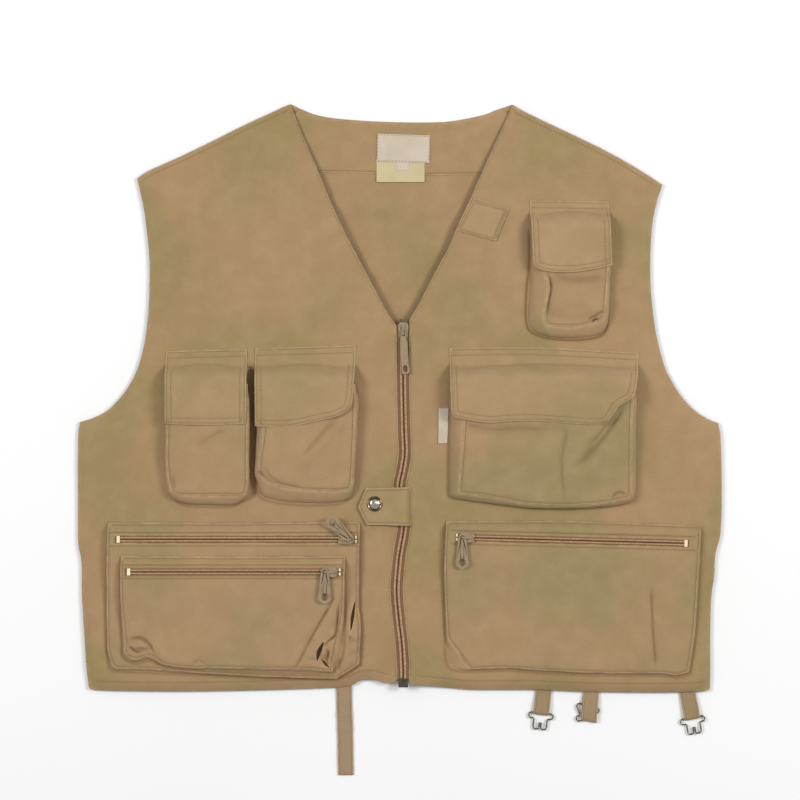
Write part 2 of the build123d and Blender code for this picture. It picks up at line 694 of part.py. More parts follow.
def strap_frame(strap):
    """Frame at the strap's tip whose y axis points up the strap to its root, and its length."""
    dx = strap.root[0] - strap.tip[0]
    dy = strap.root[1] - strap.tip[1]
    return upright_frame(*strap.tip, degrees(atan2(dy, dx)) - 90), hypot(dx, dy)


def side_profile(plane, shift):
    """Plane across a strap's length: x along the strap, y up, shifted half a width aside."""
    return Plane(origin=plane.from_local_coords(Vector(shift, 0, 0)), x_dir=plane.y_dir,
                 z_dir=plane.x_dir)


def wire_loop(plane, shift, width):
    """Webbing turned round the hook's bar."""
    with BuildPart() as loop:
        with BuildSketch(side_profile(plane, shift)):
            with Locations((0, BAR_Z)):
                Circle(LOOP_OUT)
                Circle(LOOP_IN, mode=Mode.SUBTRACT)
        extrude(amount=width)
    return loop.part


tie, inner, middle, outer = STRAPS
with BuildPart() as tie_strap:
    with BuildSketch(Plane.XY):
        with BuildLine():
            Polyline(
                (tie.root[0] - STRAP_W / 2, STRAP_HINGE_Y - FOLD_GAP),
                (tie.root[0] + STRAP_W / 2, STRAP_HINGE_Y - FOLD_GAP),
                (tie.tip[0] + STRAP_W / 2, tie.tip[1]),
                (tie.tip[0] - STRAP_W / 2, tie.tip[1]),
                close=True,
            )
        make_face()
    extrude(amount=STRAP_T)
save(tie_strap.part, "tie_strap")

STRAP_ENDS = (1.2, 2.0)      # a hook strap's flat part stops this far from its bar and its hinge
for strap in (inner, outer):
    plane, length = strap_frame(strap)
    with BuildPart() as hook_strap:
        with BuildSketch(plane):
            with BuildLine():
                Polyline(
                    (-STRAP_W / 2, STRAP_ENDS[0]), (STRAP_W / 2, STRAP_ENDS[0]),
                    (STRAP_W / 2, length - STRAP_ENDS[1]), (-STRAP_W / 2, length - STRAP_ENDS[1]),
                    close=True,
                )
            make_face()
        extrude(amount=STRAP_T)
        add(wire_loop(plane, -STRAP_W / 2, STRAP_W))
    save(hook_strap.part, strap.name)

# The middle strap lies over its folded-under hook; its loop is narrower and follows the bar
FOLDED_TURN = 25.0
FOLDED_LOOP_W = 8.0
COVER_Z = 2.6
COVER_T = 0.8
COVER_OVER = 4.0             # the strap reaches this far past the bar
COVER_SLOPE = 6.5            # and comes down to the surface over this length before its hinge
plane, length = strap_frame(middle)
folded_plane = upright_frame(*middle.tip, FOLDED_TURN)
with BuildPart() as middle_strap:
    with BuildSketch(side_profile(plane, -STRAP_W / 2)):
        with BuildLine():
            Polyline(
                (-COVER_OVER, COVER_Z), (length - COVER_SLOPE, COVER_Z), (length - FOLD_GAP, 0.0),
                (length - FOLD_GAP, STRAP_T), (length - COVER_SLOPE, COVER_Z + COVER_T),
                (-COVER_OVER, COVER_Z + COVER_T),
                close=True,
            )
        make_face()
    extrude(amount=STRAP_W)
    add(wire_loop(folded_plane, -FOLDED_LOOP_W / 2, FOLDED_LOOP_W))
save(middle_strap.part, middle.name)

# Wire hooks: a straight bar, two ears, a neck and two long lobes, bent from one wire
EAR_X = 11.6
EAR_Y = 5.2
LOBE_X = 6.4
LOBE_Y = 15.6
WIRE_END = (0.8, 9.0)
BEND_RADII = [2.6, 2.6, 1.6, 2.5, 2.5, 2.5, 2.5, 1.6, 2.6, 2.6]


def wire_hook(plane, out, label):
    """Hook in the plane of its bar; out is -1 when it points along the plane's -y."""
    half = [
        WIRE_END, (WIRE_END[0], LOBE_Y), (LOBE_X, LOBE_Y), (LOBE_X, EAR_Y), (EAR_X, EAR_Y),
        (EAR_X, 0.0),
    ]
    left = [(-x, out * y) for x, y in half]
    right = [(x, out * y) for x, y in reversed(half)]
    with BuildPart() as hook:
        with BuildLine(plane.offset(BAR_Z)):
            path = FilletPolyline(*left, *right, radius=BEND_RADII)
        with BuildSketch(Plane(origin=path @ 0, z_dir=path % 0)):
            Circle(WIRE_R)
        sweep(path=path)
    save(hook.part, label)


wire_hook(strap_frame(inner)[0], -1, "inner_wire_hook")
wire_hook(folded_plane, 1, "middle_wire_hook")
wire_hook(strap_frame(outer)[0], -1, "outer_wire_hook")

# Sewn-down ends of the four straps, the snap tab and the chest tab
TAB_FOOT = 7.0               # length of the snap tab's foot on the panel
ANCHOR_STEP = 0.5            # the straps' sewn ends start this far above the hem
with BuildPart() as sewn_ends:
    for strap in STRAPS:
        with BuildSketch(Plane.XY.offset(FABRIC)):
            with Locations((strap.root[0], HEM_Y + ANCHOR_STEP + ANCHOR_LONG / 2)):
                Rectangle(STRAP_W, ANCHOR_LONG)
        extrude(amount=STRAP_T)
    with BuildSketch(Plane.XZ.offset(-TAB_Y[1])):
        with BuildLine():
            Polyline(
                (TAB_ROOT_X, TOP_Z), (TAB_ROOT_X + TAB_FOOT, TOP_Z),
                (TAB_ROOT_X + TAB_FOOT, TOP_Z + FABRIC),
                (TAB_ROOT_X + FABRIC, TOP_Z + FABRIC), (TAB_ROOT_X + FABRIC, TAB_ARCH_Z + FABRIC),
                (TAB_ROOT_X, TAB_ARCH_Z + FABRIC),
                close=True,
            )
        make_face()
    extrude(amount=TAB_Y[1] - TAB_Y[0])
    with BuildSketch(Plane.XY.offset(TOP_Z)):
        with BuildLine():
            Polyline(*ROD_TAB[:2], *reversed(shifted(ROD_TAB[:2], *root_far)), close=True)
        make_face()
    extrude(amount=ROD_TAB_Z + FABRIC - TOP_Z)
save(sewn_ends.part, "sewn_strap_ends")
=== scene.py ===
import bpy
import numpy as np
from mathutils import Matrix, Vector, geometry


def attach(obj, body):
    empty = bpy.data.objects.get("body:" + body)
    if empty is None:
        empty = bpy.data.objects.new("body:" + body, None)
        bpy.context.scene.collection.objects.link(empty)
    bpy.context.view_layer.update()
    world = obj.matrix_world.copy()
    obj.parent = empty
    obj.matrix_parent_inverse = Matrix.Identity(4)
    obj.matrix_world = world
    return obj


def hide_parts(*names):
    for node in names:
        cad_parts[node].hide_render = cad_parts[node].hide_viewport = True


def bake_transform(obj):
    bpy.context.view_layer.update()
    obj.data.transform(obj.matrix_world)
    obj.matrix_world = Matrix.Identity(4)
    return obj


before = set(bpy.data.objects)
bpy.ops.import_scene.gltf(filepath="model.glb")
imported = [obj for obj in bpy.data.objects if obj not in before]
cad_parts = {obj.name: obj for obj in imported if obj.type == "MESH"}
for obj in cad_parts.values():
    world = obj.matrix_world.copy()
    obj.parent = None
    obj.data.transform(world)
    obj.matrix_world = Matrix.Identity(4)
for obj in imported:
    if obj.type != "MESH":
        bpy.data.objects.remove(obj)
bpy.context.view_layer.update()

# Fishing vest lying on its back. Sizes and places below are millimetres in the part's own frame;
# meshes are written in metres. +X is the wearer's left, +Y the collar, +Z up.
MM = 0.001

CLOTH = 0.6              # thickness of one layer with its lining
PANEL_Z = 10.0           # upper side of the fronts where the pockets are sewn
EDGE_Z = 2.7             # upper side of the fronts at the side seams and armholes
HEM_Z = 3.6
GRID = 3.2               # spacing of the cloth's vertices
STITCH_PITCH = 3.2
STITCH_LONG = 2.5
STITCH_WIDE = 0.46
STITCH_HIGH = 0.16
THREAD_PAINT = 1         # a cloth piece's second material is its thread
SAME_POINT = 0.05        # points nearer than this count as one
GUSSET_SINK = 0.5        # a gusset's foot goes this deep into the cloth it is sewn on
MIX_A, MIX_B, MIX_RESULT = 6, 7, 2   # places of a Mix node's colour sockets

# ------------------------------------------------------------------ numbers and curves
def smooth(t):
    """Smooth step from 0 to 1."""
    t = np.clip(t, 0.0, 1.0)
    return t * t * (3 - 2 * t)


def bell(d, wide):
    """1 where d is 0, falling off over wide."""
    return np.exp(-((d / wide) ** 2))


def lattice_noise(x, y, scale, seed):
    """Smooth noise between -1 and 1 with features about scale mm wide."""
    size = 64
    table = np.random.default_rng(seed).uniform(-1, 1, (size, size))
    u, v = np.asarray(x, float) / scale, np.asarray(y, float) / scale
    i, j = np.floor(u).astype(int), np.floor(v).astype(int)
    fu, fv = smooth(u - i), smooth(v - j)
    i0, i1, j0, j1 = i % size, (i + 1) % size, j % size, (j + 1) % size
    low = table[i0, j0] * (1 - fu) + table[i1, j0] * fu
    high = table[i0, j1] * (1 - fu) + table[i1, j1] * fu
    return low * (1 - fv) + high * fv


def cloth_noise(x, y, seed, scale):
    """Three sizes of soft waves, turned against each other."""
    a = lattice_noise(0.8 * x + 0.6 * y, 0.8 * y - 0.6 * x, scale, seed)
    b = lattice_noise(0.5 * x - 0.87 * y, 0.5 * y + 0.87 * x, scale * 0.45, seed + 1)
    c = lattice_noise(x, y, scale * 0.17, seed + 2)
    return 0.62 * a + 0.28 * b + 0.10 * c


def lengths(line):
    """Length run along a line, at each of its points."""
    return np.concatenate([[0], np.cumsum(np.linalg.norm(np.diff(line, axis=0), axis=1))])


def read_off(at, run, values):
    """Rows of values at the lengths given by at."""
    return np.column_stack([np.interp(at, run, column) for column in np.asarray(values).T])


def unit(rows):
    """Rows scaled to length 1."""
    return rows / np.maximum(np.linalg.norm(rows, axis=1), 1e-9)[:, None]


def heading(line):
    """Direction of a line at each of its points."""
    return unit(np.gradient(line, axis=0))


def leftward(along):
    """Flat directions turned a quarter turn to the left."""
    return np.column_stack([-along[:, 1], along[:, 0]])


def even(points, step):
    """The same line with points about step mm apart."""
    p = np.asarray(points, float)
    run = lengths(p)
    count = max(2, int(round(run[-1] / step)) + 1)
    return read_off(np.linspace(0, run[-1], count), run, p)


def curve(points, step=2.4):
    """Even points on a smooth curve through the given points."""
    p = np.asarray(points, float)
    p = np.vstack([2 * p[0] - p[1], p, 2 * p[-1] - p[-2]])
    t = np.linspace(0, 1, 20, endpoint=False)[:, None]
    parts = [
        0.5 * (2 * b + (c - a) * t + (2 * a - 5 * b + 4 * c - d) * t**2
               + (3 * b - a - 3 * c + d) * t**3)
        for a, b, c, d in zip(p, p[1:], p[2:], p[3:])
    ]
    return even(np.vstack([*parts, p[-2:-1]]), step)


def chain(*lines):
    """Lines joined end to start, without doubled points."""
    parts = [np.asarray(lines[0], float)]
    for line in lines[1:]:
        line = np.asarray(line, float)
        near = np.linalg.norm(line[0] - parts[-1][-1]) < SAME_POINT
        parts.append(line[1:] if near else line)
    joined = np.vstack(parts)
    if np.linalg.norm(joined[0] - joined[-1]) < SAME_POINT:
        joined = joined[:-1]
    return joined


def closed(outline):
    """An outline with its first point again at the end."""
    return np.vstack([outline, outline[:1]])


def nearest(x, y, line):
    """Distance of points from a polyline, and how far each lies to the left of it."""
    p = np.asarray(line, float)[:, :2]
    best = np.full(np.shape(x), 1e12)
    side = np.zeros(np.shape(x))
    for (ax, ay), (bx, by) in zip(p[:-1], p[1:]):
        dx, dy = bx - ax, by - ay
        length = max(np.hypot(dx, dy), 1e-9)
        t = np.clip(((x - ax) * dx + (y - ay) * dy) / length**2, 0, 1)
        away = np.hypot(x - ax - t * dx, y - ay - t * dy)
        across = (dx * (y - ay) - dy * (x - ax)) / length
        side = np.where(away < best, across, side)
        best = np.minimum(best, away)
    return best, side


def distance(x, y, line):
    """Distance of points from a polyline."""
    p = np.asarray(line, float)[:, :2]
    best = np.full(np.shape(x), 1e12)
    for (ax, ay), (bx, by) in zip(p[:-1], p[1:]):
        dx, dy = bx - ax, by - ay
        t = np.clip(((x - ax) * dx + (y - ay) * dy) / max(dx * dx + dy * dy, 1e-9), 0, 1)
        best = np.minimum(best, (x - ax - t * dx) ** 2 + (y - ay - t * dy) ** 2)
    return np.sqrt(best)


def fade(x, y, line):
    """1 along a line, down to 0 at its two ends."""
    (ax, ay), (bx, by) = line[0], line[-1]
    ends = np.minimum(np.hypot(x - ax, y - ay), np.hypot(x - bx, y - by))
    return smooth(ends / min(12.0, 1.0 + 0.3 * np.hypot(ax - bx, ay - by)))


def inside(x, y, outline):
    """True for points inside a closed outline."""
    p = np.asarray(outline, float)
    found = np.zeros(np.shape(x), bool)
    for (ax, ay), (bx, by) in zip(p, np.roll(p, -1, axis=0)):
        if ay == by:
            continue
        crosses = (ay > y) != (by > y)
        found ^= crosses & (x < (bx - ax) * (y - ay) / (by - ay) + ax)
    return found


def signed_area(outline):
    """Area inside a closed outline in square mm, negative when it runs clockwise."""
    p = np.asarray(outline, float)
    q = np.roll(p, -1, axis=0)
    return np.sum(p[:, 0] * q[:, 1] - q[:, 0] * p[:, 1]) / 2


def side_step(line, shift):
    """The same open line moved sideways by shift, to its left."""
    p = np.asarray(line, float)
    return p + shift * leftward(heading(p))


def inset(outline, depth):
    """A closed outline moved inward."""
    p = np.asarray(outline, float)
    along = unit(np.roll(p, -1, axis=0) - np.roll(p, 1, axis=0))
    return p + np.sign(signed_area(p)) * depth * leftward(along)


# ------------------------------------------------------------------ folds in cloth
def folds(x, y, marks):
    """Height of soft ridges (+) and valleys (-): each mark is a line, its half width and height."""
    ridges = (high * bell(distance(x, y, line), wide) for line, wide, high in marks)
    return sum(ridges, np.zeros(np.shape(x)))


def creases(x, y, marks):
    """Sharp creases: line, half width, height."""
    total = np.zeros(np.shape(x))
    for line, wide, high in marks:
        total += high * np.exp(-distance(x, y, line) / wide) * fade(x, y, line)
    return total


def ledge(x, y, line, high, wide, reach):
    """A fold lying over its neighbour: the left side of the line is raised by high at the line."""
    away, side = nearest(x, y, line)
    return high * smooth(side / wide + 0.5) * np.exp(-away / reach)


# ------------------------------------------------------------------ meshes
class Shape:
    """Points, faces, finishes, wear and painted shade of one piece, in millimetres."""

    def __init__(self):
        self.points, self.faces, self.paint, self.seam, self.edge = [], [], [], [], []
        self.count = 0

    def add(self, points, faces, paint=0, seam=None, edge=None):
        blank = np.zeros(len(points))
        self.points.append(points)
        self.seam.append(blank if seam is None else seam)
        self.edge.append(blank if edge is None else edge)
        self.faces += [tuple(int(i) + self.count for i in face) for face in faces]
        self.paint += [paint] * len(faces)
        self.count += len(points)

    def build(self, name, materials):
        mesh = bpy.data.meshes.new(name)
        mesh.from_pydata((np.vstack(self.points) * MM).tolist(), [], self.faces)
        for material in materials:
            mesh.materials.append(material)
        mesh.polygons.foreach_set("material_index", np.array(self.paint, np.int32))
        mesh.polygons.foreach_set("use_smooth", np.ones(len(self.faces), bool))
        for label, values in (("seam", self.seam), ("edge", self.edge)):
            mark = mesh.attributes.new(label, "FLOAT", "POINT")
            mark.data.foreach_set("value", np.concatenate(values).astype(np.float32))
        mesh.validate()
        mesh.update()
        return link_object(name, mesh)


def link_object(name, data):
    made = bpy.data.objects.new(name, data)
    bpy.context.scene.collection.objects.link(made)
    return made


def ring_faces(count, size):
    """Quads between successive rings of equal size, and a face on each end."""
    faces = []
    for a in range(0, (count - 1) * size, size):
        for j in range(size):
            k = (j + 1) % size
            faces.append((a + j, a + k, a + size + k, a + size + j))
    faces.append(tuple(range(size))[::-1])
    faces.append(tuple((count - 1) * size + j for j in range(size)))
    return faces


def loft(shape, rings, paint=0, seam=None, edge=None):
    """Closed skin over rings of points."""
    rings = np.asarray(rings, float)
    shape.add(rings.reshape(-1, 3), ring_faces(*rings.shape[:2]), paint, seam, edge)


def tube(shape, path, radius, sides=6, paint=0, flat=1.0):
    """Round wire along a 3-D path; flat squeezes it across."""
    p = np.asarray(path, float)
    along = heading(p)
    up = np.tile([0.0, 0.0, 1.0], (len(p), 1))
    up[np.abs(along[:, 2]) > 0.9] = (0.0, 1.0, 0.0)
    side = unit(np.cross(along, up))
    up = np.cross(side, along)
    turn = np.linspace(0, 2 * np.pi, sides, endpoint=False)
    ring = radius * (np.cos(turn)[None, :, None] * side[:, None, :] * flat
                     + np.sin(turn)[None, :, None] * up[:, None, :])
    loft(shape, p[:, None, :] + ring, paint)


def stitches(shape, line, surface):
    """A row of single stitches lying on the surface along a line."""
    p = even(line, 0.8)
    run = lengths(p)
    starts = np.arange(0.4, run[-1] - STITCH_LONG, STITCH_PITCH)
    count = len(starts)
    if not count:
        return
    at = (starts[:, None] + np.array([0.0, 0.22, 0.5, 0.78, 1.0]) * STITCH_LONG).ravel()
    x, y = read_off(at, run, p).T
    hx, hy = read_off(at, run, heading(p)).T
    swell = np.tile([0.35, 0.9, 1.0, 0.9, 0.35], count)
    z = surface(x, y) + np.tile([-0.12, 0.10, 0.16, 0.10, -0.12], count)
    w, h = swell * STITCH_WIDE / 2, swell * STITCH_HIGH
    corners = [(x - hy * w, y + hx * w, z), (x, y, z + h), (x + hy * w, y - hx * w, z), (x, y, z - h)]
    rings = np.array(corners).transpose(2, 0, 1)
    faces = [tuple(i + 20 * s for i in face) for s in range(count) for face in ring_faces(5, 4)]
    shape.add(rings.reshape(-1, 3), faces, THREAD_PAINT)


class Region:
    """Flat area of a sheet, with the lines that its points have to follow."""

    def __init__(self, borders, seams, folded, grid):
        self.borders = [self.refine(border, grid * 0.8) for border in borders]
        self.loops = [closed(border) for border in self.borders]
        self.seams, self.folded, self.grid = seams, folded, grid

    @staticmethod
    def refine(border, step):
        """The border with points added between its own, at most step apart."""
        ring = closed(np.asarray(border, float))
        points = [ring[0]]
        for a, b in zip(ring[:-1], ring[1:]):
            cuts = max(1, int(np.ceil(np.linalg.norm(b - a) / step)))
            points += [a + (b - a) * k / cuts for k in range(1, cuts + 1)]
        return np.array(points[:-1])

    def from_border(self, x, y):
        return np.min([distance(x, y, loop) for loop in self.loops], axis=0)

    def from_seam(self, x, y):
        if not self.seams:
            return np.full(np.shape(x), 99.0)
        return np.min([distance(x, y, seam) for seam in self.seams], axis=0)

    def clear_of_folds(self, x, y, gap):
        clear = np.ones(np.shape(x), bool)
        for line, _, _ in self.folded:
            clear &= distance(x, y, line) > gap
        return clear

    def within(self, x, y):
        ok = inside(x, y, self.borders[0])
        for hole in self.borders[1:]:
            ok &= ~inside(x, y, hole)
        return ok

    def line_points(self):
        """Rows of points beside the borders, the seams and the folds."""
        rows = []
        for k, border in enumerate(self.borders):
            for depth in (0.3, 0.9):
                moved = inset(border, depth if k == 0 else -depth)
                rows.append(moved[self.from_border(*moved.T) > 0.6 * depth])
        for line in self.seams:
            base = even(line, self.grid * 0.8)
            rows += [side_step(base, shift) if len(base) > 2 else base for shift in (-0.8, 0.0, 0.8)]
        for line, _, _ in self.folded:
            base = even(line, 1.4)
            rows += [side_step(base, shift) for shift in (-2.0, -1.1, -0.4, 0.3, 1.0, 1.9)]
        rows = np.vstack(rows)
        rows = rows[self.within(*rows.T)]
        return rows[self.from_border(*rows.T) > 0.15]

    def field_points(self, spots):
        """Even points over the rest of the area, outside the dense spots."""
        low, high = self.borders[0].min(0), self.borders[0].max(0)
        xs = np.arange(low[0] + 0.5, high[0], self.grid)
        ys = np.arange(low[1] + 0.5, high[1], self.grid * 0.866)
        x, y = staggered(xs, ys, self.grid / 2)
        ok = self.within(x, y)
        x, y = x[ok], y[ok]
        ok = self.clear_of_folds(x, y, 2.2 + 0.2 * self.grid)
        ok &= self.from_border(x, y) > 0.9 + 0.4 * self.grid
        ok &= self.from_seam(x, y) > 0.8 + 0.35 * self.grid
        for (cx, cy), radius in spots:
            ok &= np.hypot(x - cx, y - cy) > radius
        return np.column_stack([x[ok], y[ok]])

    def spot_points(self, spots):
        """Close points in each dense spot, where the cloth is crumpled."""
        found = [np.zeros((0, 2))]
        for (cx, cy), radius in spots:
            x, y = staggered(np.arange(cx - radius, cx + radius, 1.25),
                             np.arange(cy - radius, cy + radius, 1.1), 0.62)
            keep = (np.hypot(x - cx, y - cy) < radius) & self.within(x, y)
            keep &= (self.from_border(x, y) > 1.2) & (self.from_seam(x, y) > 1.2)
            keep &= self.clear_of_folds(x, y, 2.3)
            for (ox, oy), other in spots:
                if (ox, oy) < (cx, cy):
                    keep &= np.hypot(x - ox, y - oy) > other
            found.append(np.column_stack([x[keep], y[keep]]))
        return np.vstack(found)

    def triangulate(self, spots):
        """Flat points and triangles that fill the area."""
        flat = np.vstack([*self.borders, self.line_points(), self.spot_points(spots),
                          self.field_points(spots)])
        edges, start = [], 0
        for border in self.borders:
            count = len(border)
            edges += [(start + i, start + (i + 1) % count) for i in range(count)]
            start += count
        found = geometry.delaunay_2d_cdt([Vector(p) for p in flat.tolist()], edges, [], 0, 1e-5)
        flat = np.array([tuple(v) for v in found[0]])
        triangles = np.array([face for face in found[2] if len(face) == 3])
        corners = flat[triangles]
        e1, e2 = corners[:, 1] - corners[:, 0], corners[:, 2] - corners[:, 0]
        flipped = e1[:, 0] * e2[:, 1] - e1[:, 1] * e2[:, 0] < 0
        triangles[flipped] = triangles[flipped][:, ::-1]
        on_border = self.from_border(*flat.T) < SAME_POINT
        keep = self.within(*corners.mean(axis=1).T) & ~on_border[triangles].all(axis=1)
        used, triangles = np.unique(triangles[keep], return_inverse=True)
        return flat[used], triangles.reshape(-1, 3)


def staggered(xs, ys, shift):
    """Points on rows, with every second row moved sideways."""
    x, y = np.meshgrid(xs, ys)
    return (x + (np.arange(len(ys)) % 2)[:, None] * shift).ravel(), y.ravel()


def sheet_shape(outline, top, grid=GRID, seams=(), holes=(), thick=CLOTH, rim=1.0, pucker=0.22,
                groove=0.28, seed=5, shape=None, folded=(), spots=(), seam_darkness=0.5):
    """Closed cloth sheet. top(x, y) is its upper surface; seams are sewn lines with stitches.

    folded creases (line, half width, height) and spots (centre, radius) get more points, so that their shape
    shows, and creases deeper than 1.5 mm get painted shade; the last argument sets how dark the sewn lines
    are (wear and painted groove shade).
    """
    shape = shape or Shape()
    region = Region([outline, *holes], seams, folded, grid)
    flat, triangles = region.triangulate(spots)
    x, y = flat.T
    from_edge = region.from_border(x, y)
    inner = np.where(from_edge >= SAME_POINT)[0]

    def surface(px, py):
        near = region.from_seam(px, py)
        bunch = lattice_noise(px, py, 5.5, seed) + 0.6 * lattice_noise(px, py, 9.0, seed + 3)
        return top(px, py) - groove * bell(near, 0.7) + pucker * bell(near, 5.0) * bunch

    z = surface(x, y)
    fall = thick / 2 * (1 - np.sqrt(1 - (1 - np.clip(from_edge / rim, 0, 1)) ** 2))
    z_top = np.where(from_edge < SAME_POINT, z - thick / 2, z - fall)
    upper = np.column_stack([x, y, z_top])
    lower = np.column_stack([x, y, z - thick + fall])[inner]
    under = np.arange(len(flat))
    under[inner] = len(flat) + np.arange(len(inner))
    faces = np.vstack([triangles, under[triangles[:, ::-1]]])
    # sewn lines painted darker: partly wear, partly painted shade of their groove
    seam_mark = seam_darkness * bell(region.from_seam(x, y), 0.6)
    # painted shade along creases deeper than 1.5 mm
    for line, wide, high in folded:
        dark = np.clip((abs(high) - 1.5) / 3.0, 0, 1.3)
        seam_mark = np.maximum(seam_mark, dark * bell(distance(x, y, line), 0.7 * wide) * fade(x, y, line))
    edge_mark = bell(from_edge, 0.9)
    shape.add(np.vstack([upper, lower]), faces.tolist(), 0, np.concatenate([seam_mark, seam_mark[inner]]),
              np.concatenate([edge_mark, edge_mark[inner]]))
    for line in seams:
        stitches(shape, line, surface)
    return shape


def revolve(shape, centre, profile, steps, paint=0):
    """Round piece about a vertical axis from its (radius, height) profile."""
    turn = np.linspace(0, 2 * np.pi, steps, endpoint=False)
    rings = [np.column_stack([centre[0] + r * np.cos(turn), centre[1] + r * np.sin(turn), np.full(steps, z)])
             for r, z in profile]
    loft(shape, rings, paint)


def flat_strap(shape, path, wide, thick, across):
    """Flat strap with rounded edges along a 3-D path; across is its sideways direction."""
    p = np.asarray(path, float)
    side = unit(np.tile(np.asarray(across, float), (len(p), 1)))
    normal = unit(np.cross(side, heading(p)))
    half = np.array([-1, -0.985, -0.93, -0.8, -0.76, -0.72, -0.5, 0, 0.5, 0.72, 0.76, 0.8, 0.93, 0.985, 1])
    rise = np.array([0, 0.6, 0.95, 1, 0.62, 1, 1, 1, 1, 1, 0.62, 1, 0.95, 0.6, 0]) * (thick / 2)
    us = np.concatenate([half, half[-2:0:-1]])
    hs = np.concatenate([rise, -rise[-2:0:-1]])
    rings = (p[:, None, :] + side[:, None, :] * (us * wide / 2)[None, :, None]
             + normal[:, None, :] * hs[None, :, None])
    # its stitch lines are painted darker (wear and painted shade of their groove); its outer edges get the
    # rubbed mark
    loft(shape, rings, 0, np.tile((np.abs(np.abs(us) - 0.76) < 0.01) * 1.0, len(p)),
         np.tile((np.abs(us) > 0.9) * 1.0, len(p)))


# ------------------------------------------------------------------ materials
def srgb(r, g, b):
    """Colour given as 0-255 values, as linear light with alpha."""
    def linear(v):
        v /= 255
        return v / 12.92 if v <= 0.04045 else ((v + 0.055) / 1.055) ** 2.4
    return (linear(r), linear(g), linear(b), 1.0)


class Paint:
    """A material being put together: its methods add nodes and give back their outputs."""

    def __init__(self, name, roughness, **inputs):
        self.material = bpy.data.materials.new(name)
        self.material.use_nodes = True
        self.tree = self.material.node_tree
        self.shader = self.tree.nodes["Principled BSDF"].inputs
        self.shader["Roughness"].default_value = roughness
        for socket, value in inputs.items():
            self.shader[socket.replace("_", " ")].default_value = value
        self.place = self.tree.nodes.new("ShaderNodeTexCoord").outputs["Object"]

    def node(self, kind, output, values, **settings):
        """Output of a new node; values holds a number, a colour or a socket for each input."""
        made = self.tree.nodes.new(f"ShaderNode{kind}")
        for name, value in settings.items():
            setattr(made, name, value)
        for name, value in values.items():
            if isinstance(value, bpy.types.NodeSocket):
                self.tree.links.new(value, made.inputs[name])
            else:
                made.inputs[name].default_value = value
        return made.outputs[output]

    def noise(self, scale, detail=3.0):
        return self.node("TexNoise", "Fac", {"Scale": scale, "Detail": detail, "Vector": self.place})

    def wave(self, period, direction, distortion=0.6):
        """Parallel threads period metres apart."""
        values = {"Scale": 0.314 / period, "Distortion": distortion, "Vector": self.place}
        return self.node("TexWave", "Fac", values, bands_direction=direction)

    def spread(self, value, low, high):
        """A value stretched so that low gives 0 and high gives 1."""
        return self.node("MapRange", "Result", {"From Min": low, "From Max": high, "Value": value})

    def times(self, a, b):
        return self.node("Math", 0, {0: a, 1: b}, operation="MULTIPLY")

    def plus(self, a, b):
        return self.node("Math", 0, {0: a, 1: b}, operation="ADD")

    def mix(self, share, a, b):
        """Colour a where share is 0, b where it is 1; a and b are (r, g, b) of 0-255 or sockets."""
        a, b = (srgb(*colour) if isinstance(colour, tuple) else colour for colour in (a, b))
        return self.node("Mix", MIX_RESULT, {"Factor": share, MIX_A: a, MIX_B: b}, data_type="RGBA")

    def mark(self, name):
        """Marks written on the mesh: the seam mark near sewn lines (wear and painted shade of their groove),
        in deep creases and along the foot of pockets (painted shade); edge near cut or folded edges.
        """
        return self.node("Attribute", "Fac", {}, attribute_name=name)

    def link(self, value, socket):
        self.tree.links.new(value, self.shader[socket])

    def finish(self, colour, height, strength, reach):
        """Put the colour and a bump on the shader; gives the material."""
        self.link(colour, "Base Color")
        values = {"Strength": strength, "Distance": reach, "Height": height}
        self.link(self.node("Bump", "Normal", values), "Normal")
        return self.material


def cloth_material(name, base, second, dark, light, thread=0.00055, weave=0.35):
    """Washed poly-cotton: plain weave, soft blotches, rubbed edges, and painted shade that darkens sewn
    lines, deep creases and pocket feet.
    """
    p = Paint(name, 0.86, Specular_IOR_Level=0.18, Sheen_Weight=0.12, Sheen_Roughness=0.5)
    colour = p.mix(p.spread(p.noise(8.5, 1.5), 0.44, 0.60), base, second)
    colour = p.mix(p.times(p.spread(p.noise(60.0, 5.0), 0.40, 0.75), 0.22), colour, light)
    colour = p.mix(p.times(p.spread(p.noise(900.0, 2.0), 0.35, 0.8), 0.16), colour, dark)
    # painted shade: darker along sewn lines (partly wear), in deep creases and along the foot of pockets
    colour = p.mix(p.times(p.mark("seam"), 0.9), colour, dark)
    rubbed = p.times(p.mark("edge"), p.spread(p.noise(160.0), 0.3, 0.7))
    colour = p.mix(p.times(rubbed, 0.8), colour, light)
    threads = p.plus(p.wave(thread, "X"), p.wave(thread, "Y"))
    return p.finish(colour, p.plus(threads, p.times(p.noise(420.0), 1.6)), weave, 0.00012)


def thread_material(name, base, dark):
    """Twisted sewing thread."""
    p = Paint(name, 0.7, Specular_IOR_Level=0.25, Sheen_Weight=0.1)
    colour = p.mix(p.spread(p.noise(700.0), 0.3, 0.7), base, dark)
    return p.finish(colour, p.wave(0.00035, "DIAGONAL", 1.0), 0.4, 0.0001)


def label_material(name, base, stain):
    """Woven label, slightly yellowed."""
    p = Paint(name, 0.75, Specular_IOR_Level=0.25)
    colour = p.mix(p.times(p.spread(p.noise(45.0), 0.4, 0.8), 0.6), base, stain)
    # darker along its stitches: partly wear, partly painted shade of the stitch groove
    colour = p.mix(p.times(p.mark("seam"), 0.5), colour, stain)
    return p.finish(colour, p.plus(p.wave(0.0004, "X"), p.wave(0.0005, "Y")), 0.3, 0.0001)


def nylon_material(name, base, dark, roughness=0.45):
    """Zip coil wire and cords: nylon with a little wear."""
    p = Paint(name, roughness, Specular_IOR_Level=0.4)
    colour = p.mix(p.spread(p.noise(300.0), 0.35, 0.7), base, dark)
    return p.finish(colour, p.noise(1500.0), 0.15, 0.0001)


